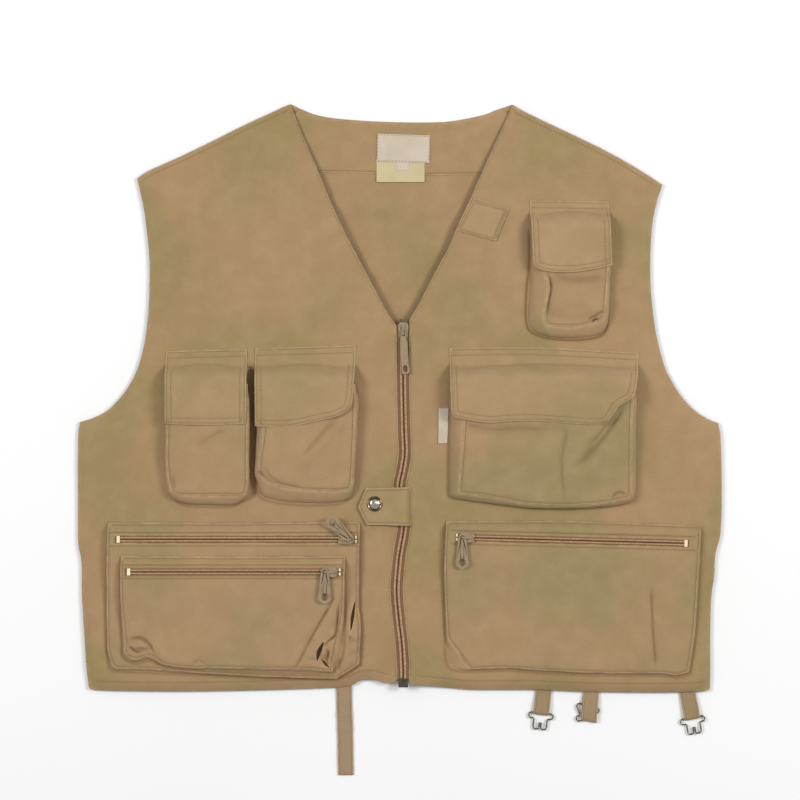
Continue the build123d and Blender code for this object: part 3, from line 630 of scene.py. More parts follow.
def pile_material(name, base, dark, scale):
    """Hook or loop pile."""
    p = Paint(name, 0.9, Specular_IOR_Level=0.1, Sheen_Weight=0.3)
    fuzz = p.noise(scale, 4.0)
    return p.finish(p.mix(p.spread(fuzz, 0.35, 0.65), base, dark), fuzz, 0.9, 0.0006)


def enamel_material(name, base, dark, bare):
    """Painted zinc: satin enamel, worn thin in small spots."""
    p = Paint(name, 0.38, Specular_IOR_Level=0.5, Coat_Weight=0.25)
    chips = p.spread(p.noise(620.0, 5.0), 0.66, 0.72)
    colour = p.mix(chips, p.mix(p.spread(p.noise(220.0), 0.35, 0.75), base, dark), bare)
    p.link(p.times(chips, 0.9), "Metallic")
    return p.finish(colour, p.noise(500.0), 0.12, 0.0002)


def metal_material(name, base, dark, roughness):
    """Plated metal with fine scratches and cloudy tarnish."""
    p = Paint(name, roughness, Specular_IOR_Level=0.5, Metallic=1.0)
    cloud = p.spread(p.noise(260.0, 4.0), 0.35, 0.75)
    p.link(p.plus(p.times(cloud, 0.16), p.times(p.noise(2400.0), roughness)), "Roughness")
    return p.finish(p.mix(cloud, base, dark), p.noise(1800.0, 2.0), 0.06, 0.0001)


SHELL = cloth_material("shell_cloth", (169, 138, 101), (156, 135, 92), (112, 84, 48), (196, 168, 130))
POCKET = cloth_material("pocket_cloth", (170, 139, 103), (155, 136, 96), (110, 84, 50), (196, 168, 130))
FLAP = cloth_material("flap_cloth", (171, 143, 106), (160, 138, 98), (114, 88, 52), (198, 171, 133))
STRAP = cloth_material("webbing", (163, 139, 109), (152, 132, 98), (118, 94, 62), (186, 162, 128),
                       thread=0.0009, weave=0.6)
THREAD = thread_material("sewing_thread", (166, 138, 99), (128, 100, 62))
LABEL = label_material("label_cloth", (206, 192, 174), (184, 168, 142))
CARE = label_material("care_label_cloth", (204, 190, 148), (186, 170, 128))
TAPE_CLOTH = cloth_material("zip_tape", (166, 132, 96), (158, 128, 90), (112, 78, 50), (190, 158, 122),
                            thread=0.0005)
COIL = nylon_material("zip_coil", (224, 190, 150), (206, 168, 126))
# the dark middle cord is partly a core cord and partly painted shade in the gap between the two coil rows
COIL_CORE_AND_GAP_SHADE = nylon_material("zip_core_cord_and_painted_gap_shade", (98, 54, 32), (76, 40, 24), 0.8)
COIL_EDGE = nylon_material("zip_edge_cord", (150, 106, 72), (130, 88, 58), 0.8)
ENAMEL = enamel_material("enamelled_zinc", (160, 138, 108), (138, 117, 88), (150, 144, 132))
# pocket zip stops: colour raised nearly to white as a painted highlight over the brass
PAINTED_HIGHLIGHT_BRASS = enamel_material("lacquered_brass_with_painted_highlight", (250, 238, 210), (232, 208, 160), (216, 176, 112))
DARK_NICKEL = metal_material("dark_nickel", (132, 126, 112), (92, 86, 74), 0.30)
NICKEL = metal_material("bright_nickel", (236, 226, 212), (176, 160, 138), 0.24)
# the snap's rim: dark brown, a painted dark reflection
PAINTED_REFLECTION_NICKEL = metal_material("nickel_with_painted_dark_reflection", (150, 126, 98), (82, 62, 44), 0.34)
HOOKS = pile_material("hook_pile", (168, 146, 112), (128, 106, 76), 1600.0)
LOOPS = pile_material("loop_pile", (172, 150, 118), (140, 118, 86), 900.0)


# ------------------------------------------------------------------ placing pieces
def settle(shape, name, materials, stands_for, body="vest", fold=None):
    """Make the piece, give it its body and hide the design parts it stands for.

    fold is (other body, start, end); its values are not used: when it is given, the piece only has its
    transform baked in and is not given a body.
    """
    piece = shape.build(name, materials)
    if fold:
        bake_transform(piece)
    else:
        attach(piece, body)
    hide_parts(*stands_for)
    return piece


# ------------------------------------------------------------------ outlines of the body
CHAIN = curve([(3.0, 118), (3.0, 112), (2.9, 60), (3.8, 12), (4.6, -12), (2.4, -28), (-0.6, -44),
               (1.4, -62), (3.9, -81), (0.2, -105), (-1.3, -116), (-3.2, -142), (-1.3, -168),
               (1.6, -193), (3.0, -218), (3.0, -240)], 2.0)


def chain_x(y):
    """Middle of the front zip at a given Y."""
    return np.interp(y, CHAIN[::-1, 1], CHAIN[::-1, 0])


SHOULDER = {
    -1: curve([(-104.5, 320), (-118.8, 313.5), (-150, 299), (-178, 285), (-208, 270.5),
               (-238, 257), (-250.5, 249)]),
    1: curve([(107.0, 319.5), (117, 313.5), (146.3, 299.3), (176.7, 285), (205, 270.5),
              (229, 256.5), (250, 243)]),
}
ARMHOLE = {
    -1: curve([(-250.5, 249), (-247.5, 236), (-243.6, 217), (-240.3, 190), (-238.5, 165),
               (-239.4, 128), (-243, 95), (-249, 71), (-255.5, 56), (-265, 42), (-278, 28.5),
               (-292, 21), (-305, 17)]),
    1: curve([(250, 243), (245.2, 228), (240.8, 208), (238.6, 180), (238.7, 150), (240.4, 128),
              (244.5, 99), (251.8, 71), (258.4, 57), (267, 42.8), (280, 28.5), (292, 20.5),
              (303, 16)]),
}
SIDE = {
    -1: curve([(-305, 17), (-306.8, 0), (-306.9, -60), (-306.6, -98), (-303.6, -116),
               (-303, -150), (-300.5, -190), (-299, -215), (-296.5, -236)]),
    1: curve([(303, 16), (305.6, 0), (306.6, -50), (305.4, -88), (300.4, -110), (299.4, -130),
              (296.6, -150), (295.6, -185), (295.6, -215), (295.4, -236)]),
}
HEM = {
    -1: curve([(-296.5, -236), (-291, -238), (-256, -239), (-190, -239.3), (-125, -238),
               (-62.7, -235.8), (-46, -233.6), (-36, -228.6), (-25, -228.4), (-14, -231.4),
               (-5.5, -230.2)]),
    1: curve([(295.4, -236), (290, -239.2), (250, -240.4), (200, -240.2), (170, -239.6),
              (127, -237.9), (70, -237.8), (45, -235.8), (27, -234), (10.5, -232.6)]),
}
NECK = {
    -1: curve([(-2.7, 107.5), (-5.2, 111.5), (-8.6, 116.2), (-14.9, 126.4), (-31.4, 157.7), (-43.7, 180.5),
               (-55.1, 203.3), (-65.6, 226), (-78.9, 258), (-93, 291), (-104.5, 320)]),
    1: curve([(8.5, 108.5), (9.2, 114), (11.4, 119.2), (18.3, 130.2), (32.3, 157.7), (44.7, 180.5),
              (54.6, 203.3), (70.3, 237.5), (85.5, 271.7), (100.5, 304), (107, 319.5)]),
}
BACK_NECK = curve([(-104.5, 320), (-84, 311), (-66, 307), (-40, 304.6), (-16, 303.3), (16, 302.6),
                   (47, 303.6), (78, 309.3), (92, 314.5), (107, 319.5)])
PANEL_TO_ZIP = 5.5


def zip_edge(side):
    """Edge of a front beside the zip, from hem to neckline."""
    y = np.arange(-230.0, 107.1, 2.5)
    return np.column_stack([chain_x(y) + side * PANEL_TO_ZIP, y])


def front_outline(side):
    edge = zip_edge(side)
    edge = edge[(edge[:, 1] > HEM[side][-1][1] + 1.5)]
    return chain(SHOULDER[side], ARMHOLE[side], SIDE[side], HEM[side], edge, NECK[side])


def back_outline():
    return chain(BACK_NECK, SHOULDER[1], ARMHOLE[1], SIDE[1],
                 curve([(295.4, -236), (200, -237), (100, -235.4), (40, -231), (0, -226.5), (-40, -225.5),
                        (-78, -232), (-190, -237), (-296.5, -236)], 4),
                 SIDE[-1][::-1], ARMHOLE[-1][::-1], SHOULDER[-1][::-1])


FRONT_FOLDS = [
    # line, half width, height
    ([(-105, 305), (-103, 242), (-104, 215)], 3.0, -1.0),
    ([(-161, 278), (-179, 221), (-199, 169), (-217, 112)], 9.0, -1.5),
    ([(-170, 270), (-190, 215), (-212, 160)], 10.0, 0.9),
    ([(-233, 234), (-229, 214)], 3.5, -0.7),
    ([(-206, 262), (-214, 232), (-214, 205)], 7.0, -0.8),
    ([(187, 264), (198, 234)], 3.5, -0.9),
    ([(222, 247), (229, 232)], 4.0, -0.9),
    ([(209, 232), (216, 190), (213, 150)], 11.0, 0.9),
    ([(60, 165), (84, 140), (110, 118)], 10.0, -0.8),
    ([(-141, 66), (-141, -50)], 3.6, -5.0),
    ([(21, -52), (32, -77), (27, -116), (20, -164), (24, -205)], 6.0, -1.4),
    ([(12, -60), (18, -100), (14, -150)], 5.0, 0.7),
    ([(-22, -95), (-26, -140), (-20, -190)], 8.0, -0.9),
    ([(-14, -120), (-12, -165)], 5.0, 0.8),
    ([(-40, -222), (-28, -214), (-18, -205)], 5.0, 1.0),
    ([(-250, 20), (-262, -20), (-258, -60)], 12.0, -1.0),
    ([(250, 30), (262, -20), (256, -64)], 12.0, -1.1),
    ([(235, 60), (252, 20), (285, -20)], 9.0, 0.9),
    ([(270, -84), (292, -104)], 5.0, 0.9),
    ([(-20, 90), (-28, 30), (-22, -20)], 9.0, -0.7),
    ([(22, 95), (30, 30), (26, -30)], 8.0, -0.8),
]


def rise(d, reach):
    """0 at an edge, 1 at reach mm from it, steep at first."""
    return (1 - (1 - np.clip(d / reach, 0, 1)) ** 2) ** 0.8


OUTER_LINES = [chain(SHOULDER[s][::3], ARMHOLE[s][::3], SIDE[s][::3]) for s in (-1, 1)]
HEM_LINE = chain(HEM[-1][::3], HEM[1][::-3])
NECK_LINE = chain(NECK[-1][::-3], NECK[1][::3])


def front_top(x, y):
    """Upper surface of both fronts: level under the pockets, lower at the vest's edges."""
    x, y = np.asarray(x, float), np.asarray(y, float)
    outer = rise(np.minimum(distance(x, y, OUTER_LINES[0]), distance(x, y, OUTER_LINES[1])), 22)
    by_zip = np.exp(-(((x - 3) / 26) ** 2))
    hem_low = (HEM_Z - EDGE_Z) / (PANEL_Z - EDGE_Z) * (1 - by_zip) + 0.92 * by_zip
    hem = hem_low + (1 - hem_low) * rise(distance(x, y, HEM_LINE), 14)
    neck_low = 0.97 - 0.78 * smooth((y - 190) / 135)
    neck = neck_low + (1 - neck_low) * rise(distance(x, y, NECK_LINE), 30)
    z = EDGE_Z + (PANEL_Z - EDGE_Z) * outer * hem * neck
    calm = 1 - 0.75 * np.exp(-(((x - chain_x(y)) / 16) ** 2)) * (y < 118)
    waves = 1.15 * cloth_noise(x, y, 21, 85) + folds(x, y, FRONT_FOLDS)
    return z + waves * calm * (0.25 + 0.75 * outer) * (0.5 + 0.5 * hem)


BACK_FOLDS = [
    ([(-57, 213), (0, 206), (50, 208)], 9.0, -0.5),
    ([(-60, 226), (-10, 220), (52, 222)], 9.0, 1.5),
    ([(-44, 232), (-10, 238), (20, 236)], 7.0, 0.7),
    ([(46, 246), (64, 252)], 6.0, 1.2),
    ([(-30, 170), (4, 162), (30, 176)], 10.0, 1.0),
    ([(50, 262), (70, 290)], 8.0, 0.7),
    ([(-80, 300), (-60, 262)], 9.0, 0.8),
]


def back_top(x, y):
    """Upper surface of the back panel."""
    x, y = np.asarray(x, float), np.asarray(y, float)
    open_part = smooth((y - 100) / 40)
    waves = 0.35 * cloth_noise(x, y, 41, 60) + 0.25 * open_part
    return 1.0 + waves + folds(x, y, BACK_FOLDS) * open_part


# ------------------------------------------------------------------ body panels
def painted_foot_shadows(panel):
    """Painted shadow lines on a panel along the foot of every pocket sewn on it."""
    return [(side_step(spec["foot_line"], 0.2), 2.0, spec.get("foot", -3.0))
            for spec in [*FLAP_POCKETS.values(), *ZIP_POCKETS.values()] if spec["panel"] == panel]


def build_fronts():
    for side, name in ((-1, "right_front_panel"), (1, "left_front_panel")):
        outline = front_outline(side)
        sewn = ((NECK[side], 1.6, 1), (zip_edge(side), 1.6, 2), (HEM[side], 9.0, 3),
                (SHOULDER[side], 5.0, 2))
        seams = [side_step(line, side * -depth)[trim:-trim] for line, depth, trim in sewn]
        # painted shadow along the foot of each pocket sewn on this front
        shape = sheet_shape(outline, front_top, seams=seams, seed=30 + side, groove=0.16, pucker=0.16,
                            folded=painted_foot_shadows(name), seam_darkness=0.3)
        piece = settle(shape, f"{name}_cloth", [SHELL, THREAD], [name])


def build_back():
    outline = back_outline()
    hem = curve([(-286, -227.5), (-78, -223), (-40, -217), (0, -218), (40, -222), (286, -227.5)], 4)
    shape = sheet_shape(outline, back_top, grid=4.2, seams=[side_step(BACK_NECK, -5.0)[2:-2], hem], seed=44)
    piece = settle(shape, "back_panel_cloth", [SHELL, THREAD], ["back_panel"])


def yoke_top(x, y):
    return back_top(x, y) + 0.65


def build_yoke():
    low = curve([(-205, 254.5), (-60, 254.5), (0, 252.6), (50, 252.2), (205, 254.5)], 3)
    upper = BACK_NECK[4:-4] + np.array([0, -1.2])
    outline = chain(low, [(110, 303)], upper[::-1], [(-108, 303)])
    shape = sheet_shape(outline, yoke_top, seams=[side_step(low, 2.0)[2:-2]], seed=47, thick=0.5)
    piece = settle(shape, "back_yoke_cloth", [SHELL, THREAD], ["back_yoke_facing"])


def build_side_seams():
    """The sewn allowance that joins the fronts to the back at the shoulders and sides."""
    shape = Shape()
    for side in (-1, 1):
        for line in (SHOULDER[side][1:-1], SIDE[side][1:-1]):
            inner = side_step(line, -side * 1.6)
            z = 1.4 + 0.12 * lattice_noise(*inner.T, 14, 61)
            tube(shape, np.column_stack([inner, z]), 0.75, sides=8, flat=1.7)
    settle(shape, "sewn_allowances", [SHELL, THREAD], ["side_and_shoulder_seams"])


def turned_rectangle(x, y, wide, high, turn):
    c, s = np.cos(np.radians(turn)), np.sin(np.radians(turn))
    corners = [(-wide / 2, -high / 2), (wide / 2, -high / 2), (wide / 2, high / 2), (-wide / 2, high / 2)]
    return np.array([(x + a * c - b * s, y + a * s + b * c) for a, b in corners])


def build_label(name, outline, top, seams, material):
    """One woven label, with stitches along the seams given for it."""
    shape = sheet_shape(outline, top, grid=2.0, seams=seams, thick=0.35, rim=0.5, pucker=0.1)
    piece = settle(shape, name, [material, THREAD], ["sewn_labels"])


def build_labels():
    def neck_top(x, y):
        return yoke_top(x, y) + 1.05 + 0.12 * lattice_noise(x, y, 12, 71)

    def care_top(x, y):
        return yoke_top(x, y) + 0.42 + 0.9 * smooth((254 - y) / 9) * smooth((y - 236) / 10)

    def tab_top(x, y):
        return care_top(x, y) + 0.28

    def side_top(x, y):
        return front_top(x, y) + 0.75 + 0.5 * smooth((40 - x) / 5)

    care = turned_rectangle(0.5, 256.5, 46, 22, 0)
    tab = turned_rectangle(2.4, 261.7, 12.4, 10.6, 0)
    neck = turned_rectangle(3.25, 277.8, 50.5, 26.6, -1.8)
    border = inset(neck, 1.4)
    side = np.array([(36.2, -3.4), (45.0, -3.0), (46.4, 30.6), (36.8, 30.2)])
    care_seam = np.array([(-21, 265.6), (22, 265.6)])
    build_label("care_label", care, care_top, [care_seam], CARE)
    build_label("size_tab", tab, tab_top, [], LABEL)
    build_label("neck_label", neck, neck_top, [border[[0, 3, 2, 1]], border[[0, 1]]], LABEL)
    build_label("pocket_side_label", side, side_top, [], LABEL)


# ------------------------------------------------------------------ pockets
def gusset_shape(base, face, face_z, bulge=3.2, crumple=0.9, seed=3, rest_on=None, tuck=2.5):
    """Side strip of a pocket from the panel up to the face's edge, going round left to right.

    Gives the shape, its length and its mean width.
    """
    count = int(max(len(curve(base, 0.5)), len(curve(face, 0.5))) * 0.5 / 2.2)
    base, face = (pick(curve(line, 0.5), count) for line in (base, face))
    base = side_step(base, tuck)
    along = heading(face)
    outward = -leftward(along)
    low = (rest_on or front_top)(*base.T) - GUSSET_SINK
    high = face_z(*face.T) - 0.35
    turn = np.abs(np.gradient(np.unwrap(np.arctan2(along[:, 1], along[:, 0]))))
    tight = np.convolve(np.clip(turn / 0.12, 0, 1), np.ones(9) / 9, "same")
    run = np.arange(len(face))
    ends = 1.0
    if np.linalg.norm(face[0] - face[-1]) >= 1.0:
        ends = smooth(run / 10.0) * smooth((run[-1] - run) / 10.0)
    outer, inner = [], []
    for s in (0, 0.12, 0.25, 0.4, 0.55, 0.7, 0.85, 1.0):
        wobble = (0.35 + tight) * crumple * lattice_noise(run * 2.2 + 40 * s, 30 * s + 0 * run, 6.5, seed)
        out = 4 * s * (1 - s) * (bulge + wobble)
        out = (out + 0.3 * lattice_noise(run * 2.2, 50 * s + 0 * run, 16, seed + 1)) * ends
        point = (1 - s) * base + s * face + outward * out[:, None]
        z = (1 - s) * low + s * high
        outer.append(np.column_stack([point, z]))
        inner.append(np.column_stack([point - outward * 0.5, z]))
    rings = np.stack(outer + inner[::-1], axis=1)
    column = np.arange(rings.shape[1])
    top_edge = np.isin(column, (len(outer) - 1, len(outer)))
    # the foot rows get the dark mark: painted shadow where the gusset meets the cloth it is sewn on
    foot = np.isin(column, (0, column[-1]))
    shape = Shape()
    loft(shape, rings, seam=np.tile(foot * 1.0, len(rings)), edge=np.tile(top_edge * 0.8, len(rings)))
    skin = np.stack(outer, axis=1)
    area = np.linalg.norm(np.cross(np.diff(skin, axis=1)[:-1], np.diff(skin, axis=0)[:, :-1]), axis=2).sum()
    return shape, lengths(face)[-1], float(area / lengths(face)[-1])


def pick(line, count):
    """The given number of points spread evenly over those of a line."""
    return read_off(np.linspace(0, len(line) - 1, count), np.arange(len(line)), line)


def linked(parts):
    """Parts of a closed outline, each beginning where the one before it ends."""
    return [[parts[k - 1][-1], *part] for k, part in enumerate(parts)]


def pocket(sharp, **spec):
    """Facts of a pocket, with its sharp folds as smooth curves."""
    return {**spec, "sharp": [(curve(line, 2.0), wide, high) for line, wide, high in sharp]}


def flap_pocket(base, **spec):
    """Facts of a pocket with a flap; curl holds the ridges of a flap that stands up."""
    return pocket(base=base, foot_line=curve(base, 3.0), **{"curl": [], **spec})


def zip_pocket(face, base, **spec):
    """Facts of a zip pocket, whose last edge is the one above the zip."""
    face, base = linked(face), linked(base)
    foot_line = chain(*[curve(part, 3.0) for part in base[:-1]])
    return pocket(face=face, base=base, foot_line=foot_line, least_width=10.0, **spec)


# Sharp folds deeper than 1.5 mm are also painted darker as painted shade; a foot value sets how dark the
# painted shadow at the pocket's foot is.
FLAP_POCKETS = {
    "right_chest_outer": flap_pocket(
        depth=13.0, fold=73.0, panel="right_front_panel",
        face=[(-220, 53), (-220.5, 12), (-221, -16), (-219.3, -38), (-214.5, -50.5), (-200, -52.6),
              (-170, -52.4), (-151, -52.6), (-145, -47), (-144.4, -20), (-144, 12), (-144, 53)],
        base=[(-219, 60), (-219.5, 10), (-219.5, -42), (-214, -56), (-204, -62.6), (-180, -63.8),
              (-158, -63.2), (-149, -56), (-146, -44), (-145.5, 10), (-145.5, 60)],
        flap=[(-222.6, 17), (-221.5, 15.2), (-190, 14.2), (-160, 14.6), (-146.6, 15.4), (-145.3, 17.5)],
        band=[(-222.8, 84.6), (-185, 85.6), (-145.0, 86.6)],
        crease=[([(-173, 6), (-198, -7)], 4.0, -0.8), ([(-160, 8), (-176, -28)], 9.0, 0.7)],
        sharp=[([(-160, 12), (-178, 3), (-197, -10)], 2.6, -2.0),
               ([(-216, -32), (-213, -49)], 1.5, -2.4)],
    ),
    "right_chest_inner": flap_pocket(
        depth=13.0, fold=73.0, panel="right_front_panel",
        face=[(-127.5, 53), (-129, 12), (-132.5, -14), (-133.4, -29), (-124, -39.5), (-111, -44),
              (-97, -46.8), (-70, -48), (-52, -47.6), (-46, -43), (-44, -15), (-42.8, 12), (-42, 53)],
        base=[(-136.6, 60), (-137, 10), (-136.8, -40), (-134, -53.5), (-124, -58.5), (-105, -61.6),
              (-77, -62.4), (-56, -60.6), (-47, -53), (-44.6, -35), (-42, 10), (-39.6, 38), (-44, 60)],
        flap=[(-137.2, 15), (-136, 13), (-120, 12.4), (-104, 12.6), (-78, 17.8), (-60, 22.2),
              (-48.6, 28.2), (-45, 36), (-43.8, 46)],
        band=[(-138.0, 87.2), (-90, 88.6), (-41.4, 90.2)],
        crease=[([(-56, 16), (-74, -4), (-90, -22)], 4.0, 1.8), ([(-50, 8), (-56, -30)], 5.0, -1.4),
                ([(-112, 6), (-104, -36)], 7.0, 0.6)],
        sharp=[([(-59, 22), (-79, 0), (-94, -17)], 1.8, -2.2),
               ([(-131.7, -22), (-121, -36.5), (-106, -42.6), (-90, -45.5)], 1.2, -2.2),
               ([(-134, -27), (-130.5, -37), (-125, -43)], 1.8, -4.2)],
        curl=[([(-62, 24), (-45, 36)], 6.0, 3.2)],
    ),
    "left_chest": flap_pocket(
        depth=14.0, fold=73.0, panel="left_front_panel", foot=-2.0,
        face=[(61, 53), (60.3, 17), (58, -20), (56, -46), (58.5, -50.5), (75, -52), (90, -54.5),
              (123, -60.5), (156, -61.8), (188, -60), (210, -56), (218, -51), (218.6, -20), (219, 17),
              (221, 53)],
        base=[(45.8, 60), (45.4, 17), (44.9, -46), (48, -54), (60, -58), (75, -60.5), (115, -63.6),
              (160, -64.4), (196, -63.2), (216, -59.4), (223.6, -50), (224.6, -10), (225, 60)],
        flap=[(48.2, 28), (50.5, 23), (57, 20.2), (83, 16.4), (106, 17.6), (130, 17.8), (159, 15.6),
              (187, 14.2), (194.5, 16), (200.5, 23), (206, 31.5), (213, 36), (219, 40), (223.2, 49),
              (225, 62)],
        band=[(46.6, 87.4), (123, 88), (190, 85), (227.2, 82.8)],
        crease=[([(216, 34), (193, 4), (168, -26)], 4.0, -2.8),
                ([(207, 20), (188, -8), (180, -34)], 4.5, 1.8),
                ([(200, 30), (180, 6), (164, -6)], 4.5, 1.2),
                ([(66, 12), (90, 7), (120, 9), (150, 8)], 5.0, -1.8),
                ([(213, 20), (206, -6), (208, -30)], 5.0, -1.3), ([(100, 10), (120, -30)], 12.0, 0.8),
                ([(76, 8), (90, -40)], 10.0, -0.7), ([(170, 8), (168, -50)], 8.0, 0.8),
                ([(161.5, 10), (157, -12), (156, -24), (158, -54)], 3.0, 1.2)],
        sharp=[([(157.5, 12), (153, -12), (152, -24), (154, -54)], 1.8, -2.1),
               ([(214, 33), (193, 4), (168, -26)], 2.2, -2.5),
               ([(206, 27), (188, 4), (176, -8)], 2.0, -2.0),
               ([(58, 15), (84, 9), (112, 10), (140, 9)], 4.5, -2.1),
               ([(199, -57), (206, -50), (216, -52)], 1.4, -3.0)],
        curl=[([(196, 20), (206, 33), (221, 43)], 5.0, 4.5)],
    ),
    "upper_chest": flap_pocket(
        depth=12.0, fold=218.0, panel="left_front_panel",
        face=[(137.5, 198), (137.8, 160), (141.4, 146), (138.6, 128), (136.8, 115), (141.5, 108.6),
              (154, 107.4), (165, 107.2), (180, 110), (190, 113.4), (193.4, 119), (195.6, 140),
              (197, 162), (198, 198)],
        base=[(121.6, 205), (122.4, 169), (120.2, 145), (119.2, 120), (122, 105), (134, 98), (151, 95.2),
              (173, 95), (190, 98.4), (196.4, 106), (197.8, 120), (198.4, 205)],
        flap=[(126.0, 168), (128.2, 163.6), (138.6, 159.8), (151, 158.6), (166, 158.9), (184, 161.6),
              (200, 165.4), (200.6, 168)],
        band=[(122.9, 227.6), (160, 227.2), (198.6, 226.4)],
        crease=[([(146, 128), (168, 134), (190, 126)], 7.0, 1.6),
                ([(140, 118), (160, 113), (178, 116)], 4.0, -1.4), ([(186, 135), (194, 150)], 5.0, -1.5)],
        foot=-4.2,
        # the first sharp fold here is mostly a painted shadow band under the flap
        sharp=[([(141, 156), (166, 151.5), (195, 154)], 6.0, -2.6),
               ([(139.4, 160), (143, 146), (140.2, 128), (138.4, 113)], 1.3, -3.6),
               ([(176, 112.5), (184, 117), (191, 121), (195, 119)], 1.3, -3.4),
               ([(181.5, 110.5), (184.5, 114.5), (189, 113.5)], 1.2, -4.6)],
    ),
}


def face_height(spec):
    """Upper surface of a flap pocket's face."""
    level = PANEL_Z + spec["depth"]
    edge_line = curve(spec["face"], 2.0)
    mouth = spec["fold"] - 20

    def top(x, y):
        below = smooth((mouth - 18 - y) / 20)
        fall = 1.1 * np.exp(-distance(x, y, edge_line) / 3.2) + 2.6 * smooth((mouth - 62 - y) / 40)
        waves = 0.8 * cloth_noise(x, y, 91, 42) + folds(x, y, spec["crease"]) + creases(x, y, spec["sharp"])
        return level - fall + waves * below
    return top


def arch_line(spec):
    """Pressed line across a flap just below its fold, bowed upward in the middle."""
    line = curve(spec["flap"], 1.6)
    t = np.linspace(0, 1, 9)
    x = np.linspace(line[0, 0] + 5, line[-1, 0] - 5, len(t))
    return np.column_stack([x, spec["fold"] - 6.0 + 5.0 * np.sin(np.pi * t)])


def flap_height(spec):
    """Upper surface of a flap and its sewn band."""
    level = PANEL_Z + spec["depth"] + 2.35
    lower = curve(spec["flap"], 2.0)
    left, right = lower[:, 0].min(), lower[:, 0].max()
    arch = arch_line(spec)

    def top(x, y):
        bow = 2.6 * np.sin(np.pi * np.clip((x - left) / (right - left), 0, 1)) ** 2
        t = np.clip((spec["fold"] + bow - 1.0 - y) / 17.0, 0, 1)
        raised = np.sin(t * np.pi / 2) ** 1.15
        out = np.minimum(np.abs(x - left), np.abs(right - x))
        droop = 1.5 * np.exp(-out / 5.0) * t + 1.1 * np.exp(-distance(x, y, lower) / 4.5)
        curl = folds(x, y, spec["curl"]) + creases(x, y, [(arch, 1.3, -0.9)])
        waves = 0.45 * cloth_noise(x, y, 77, 38) * t
        return (front_top(x, y) + 0.95) * (1 - raised) + (level - droop + waves) * raised + curl
    return top


def build_gusset(name, strip):
    """Piece made from a gusset's shape; the length and mean width in strip are not used."""
    shape, length, width = strip
    piece = settle(shape, f"{name}_gusset_cloth", [POCKET, THREAD], [f"{name}_gusset"])


def build_flap_pocket(name, spec):
    top = face_height(spec)
    outline = curve(spec["face"], 2.0)
    mouth = np.array([outline[0] + [2, -9], outline[-1] + [-2, -9]])
    shape = sheet_shape(outline, top, grid=2.7, seams=[side_step(outline, 2.2)[2:-2], mouth],
                        thick=0.7, pucker=0.3, seed=len(name), folded=spec["sharp"])
    piece = settle(shape, f"{name}_face_cloth", [POCKET, THREAD], [f"{name}_face"])
    build_gusset(name, gusset_shape(spec["base"], spec["face"], top, seed=len(name) + 3))


def build_flap(name, spec):
    lower = curve(spec["flap"], 1.6)
    band = curve(spec["band"], 3.0)
    outline = chain(band, lower[::-1])
    rim = chain(even([band[0], lower[0]], 3), lower, even([band[-1], lower[-1]], 3)[::-1])
    seams = [side_step(rim, 2.0)[2:-2], side_step(rim, 6.2)[6:-6],
             side_step(band, -1.8)[1:-1], side_step(band, -7.0)[1:-1]]
    # the pressed arch line is also painted as a thin line of shade
    shape = sheet_shape(outline, flap_height(spec), grid=2.5, seams=seams, thick=0.85, rim=0.9, pucker=0.25,
                        seed=len(name) + 9, groove=0.2, seam_darkness=0.3, folded=[(arch_line(spec), 1.0, -2.1)])
    middle = (lower[:, 0].min() + lower[:, 0].max()) / 2
    fold = (f"{name}_flap", (middle, spec["fold"] + 2.5, 11.3), (middle, spec["fold"] - 3.5, 11.3))
    piece = settle(shape, f"{name}_flap_cloth", [FLAP, THREAD],
                   [f"{name}_flap", "flap_seam_bands"], fold=fold)


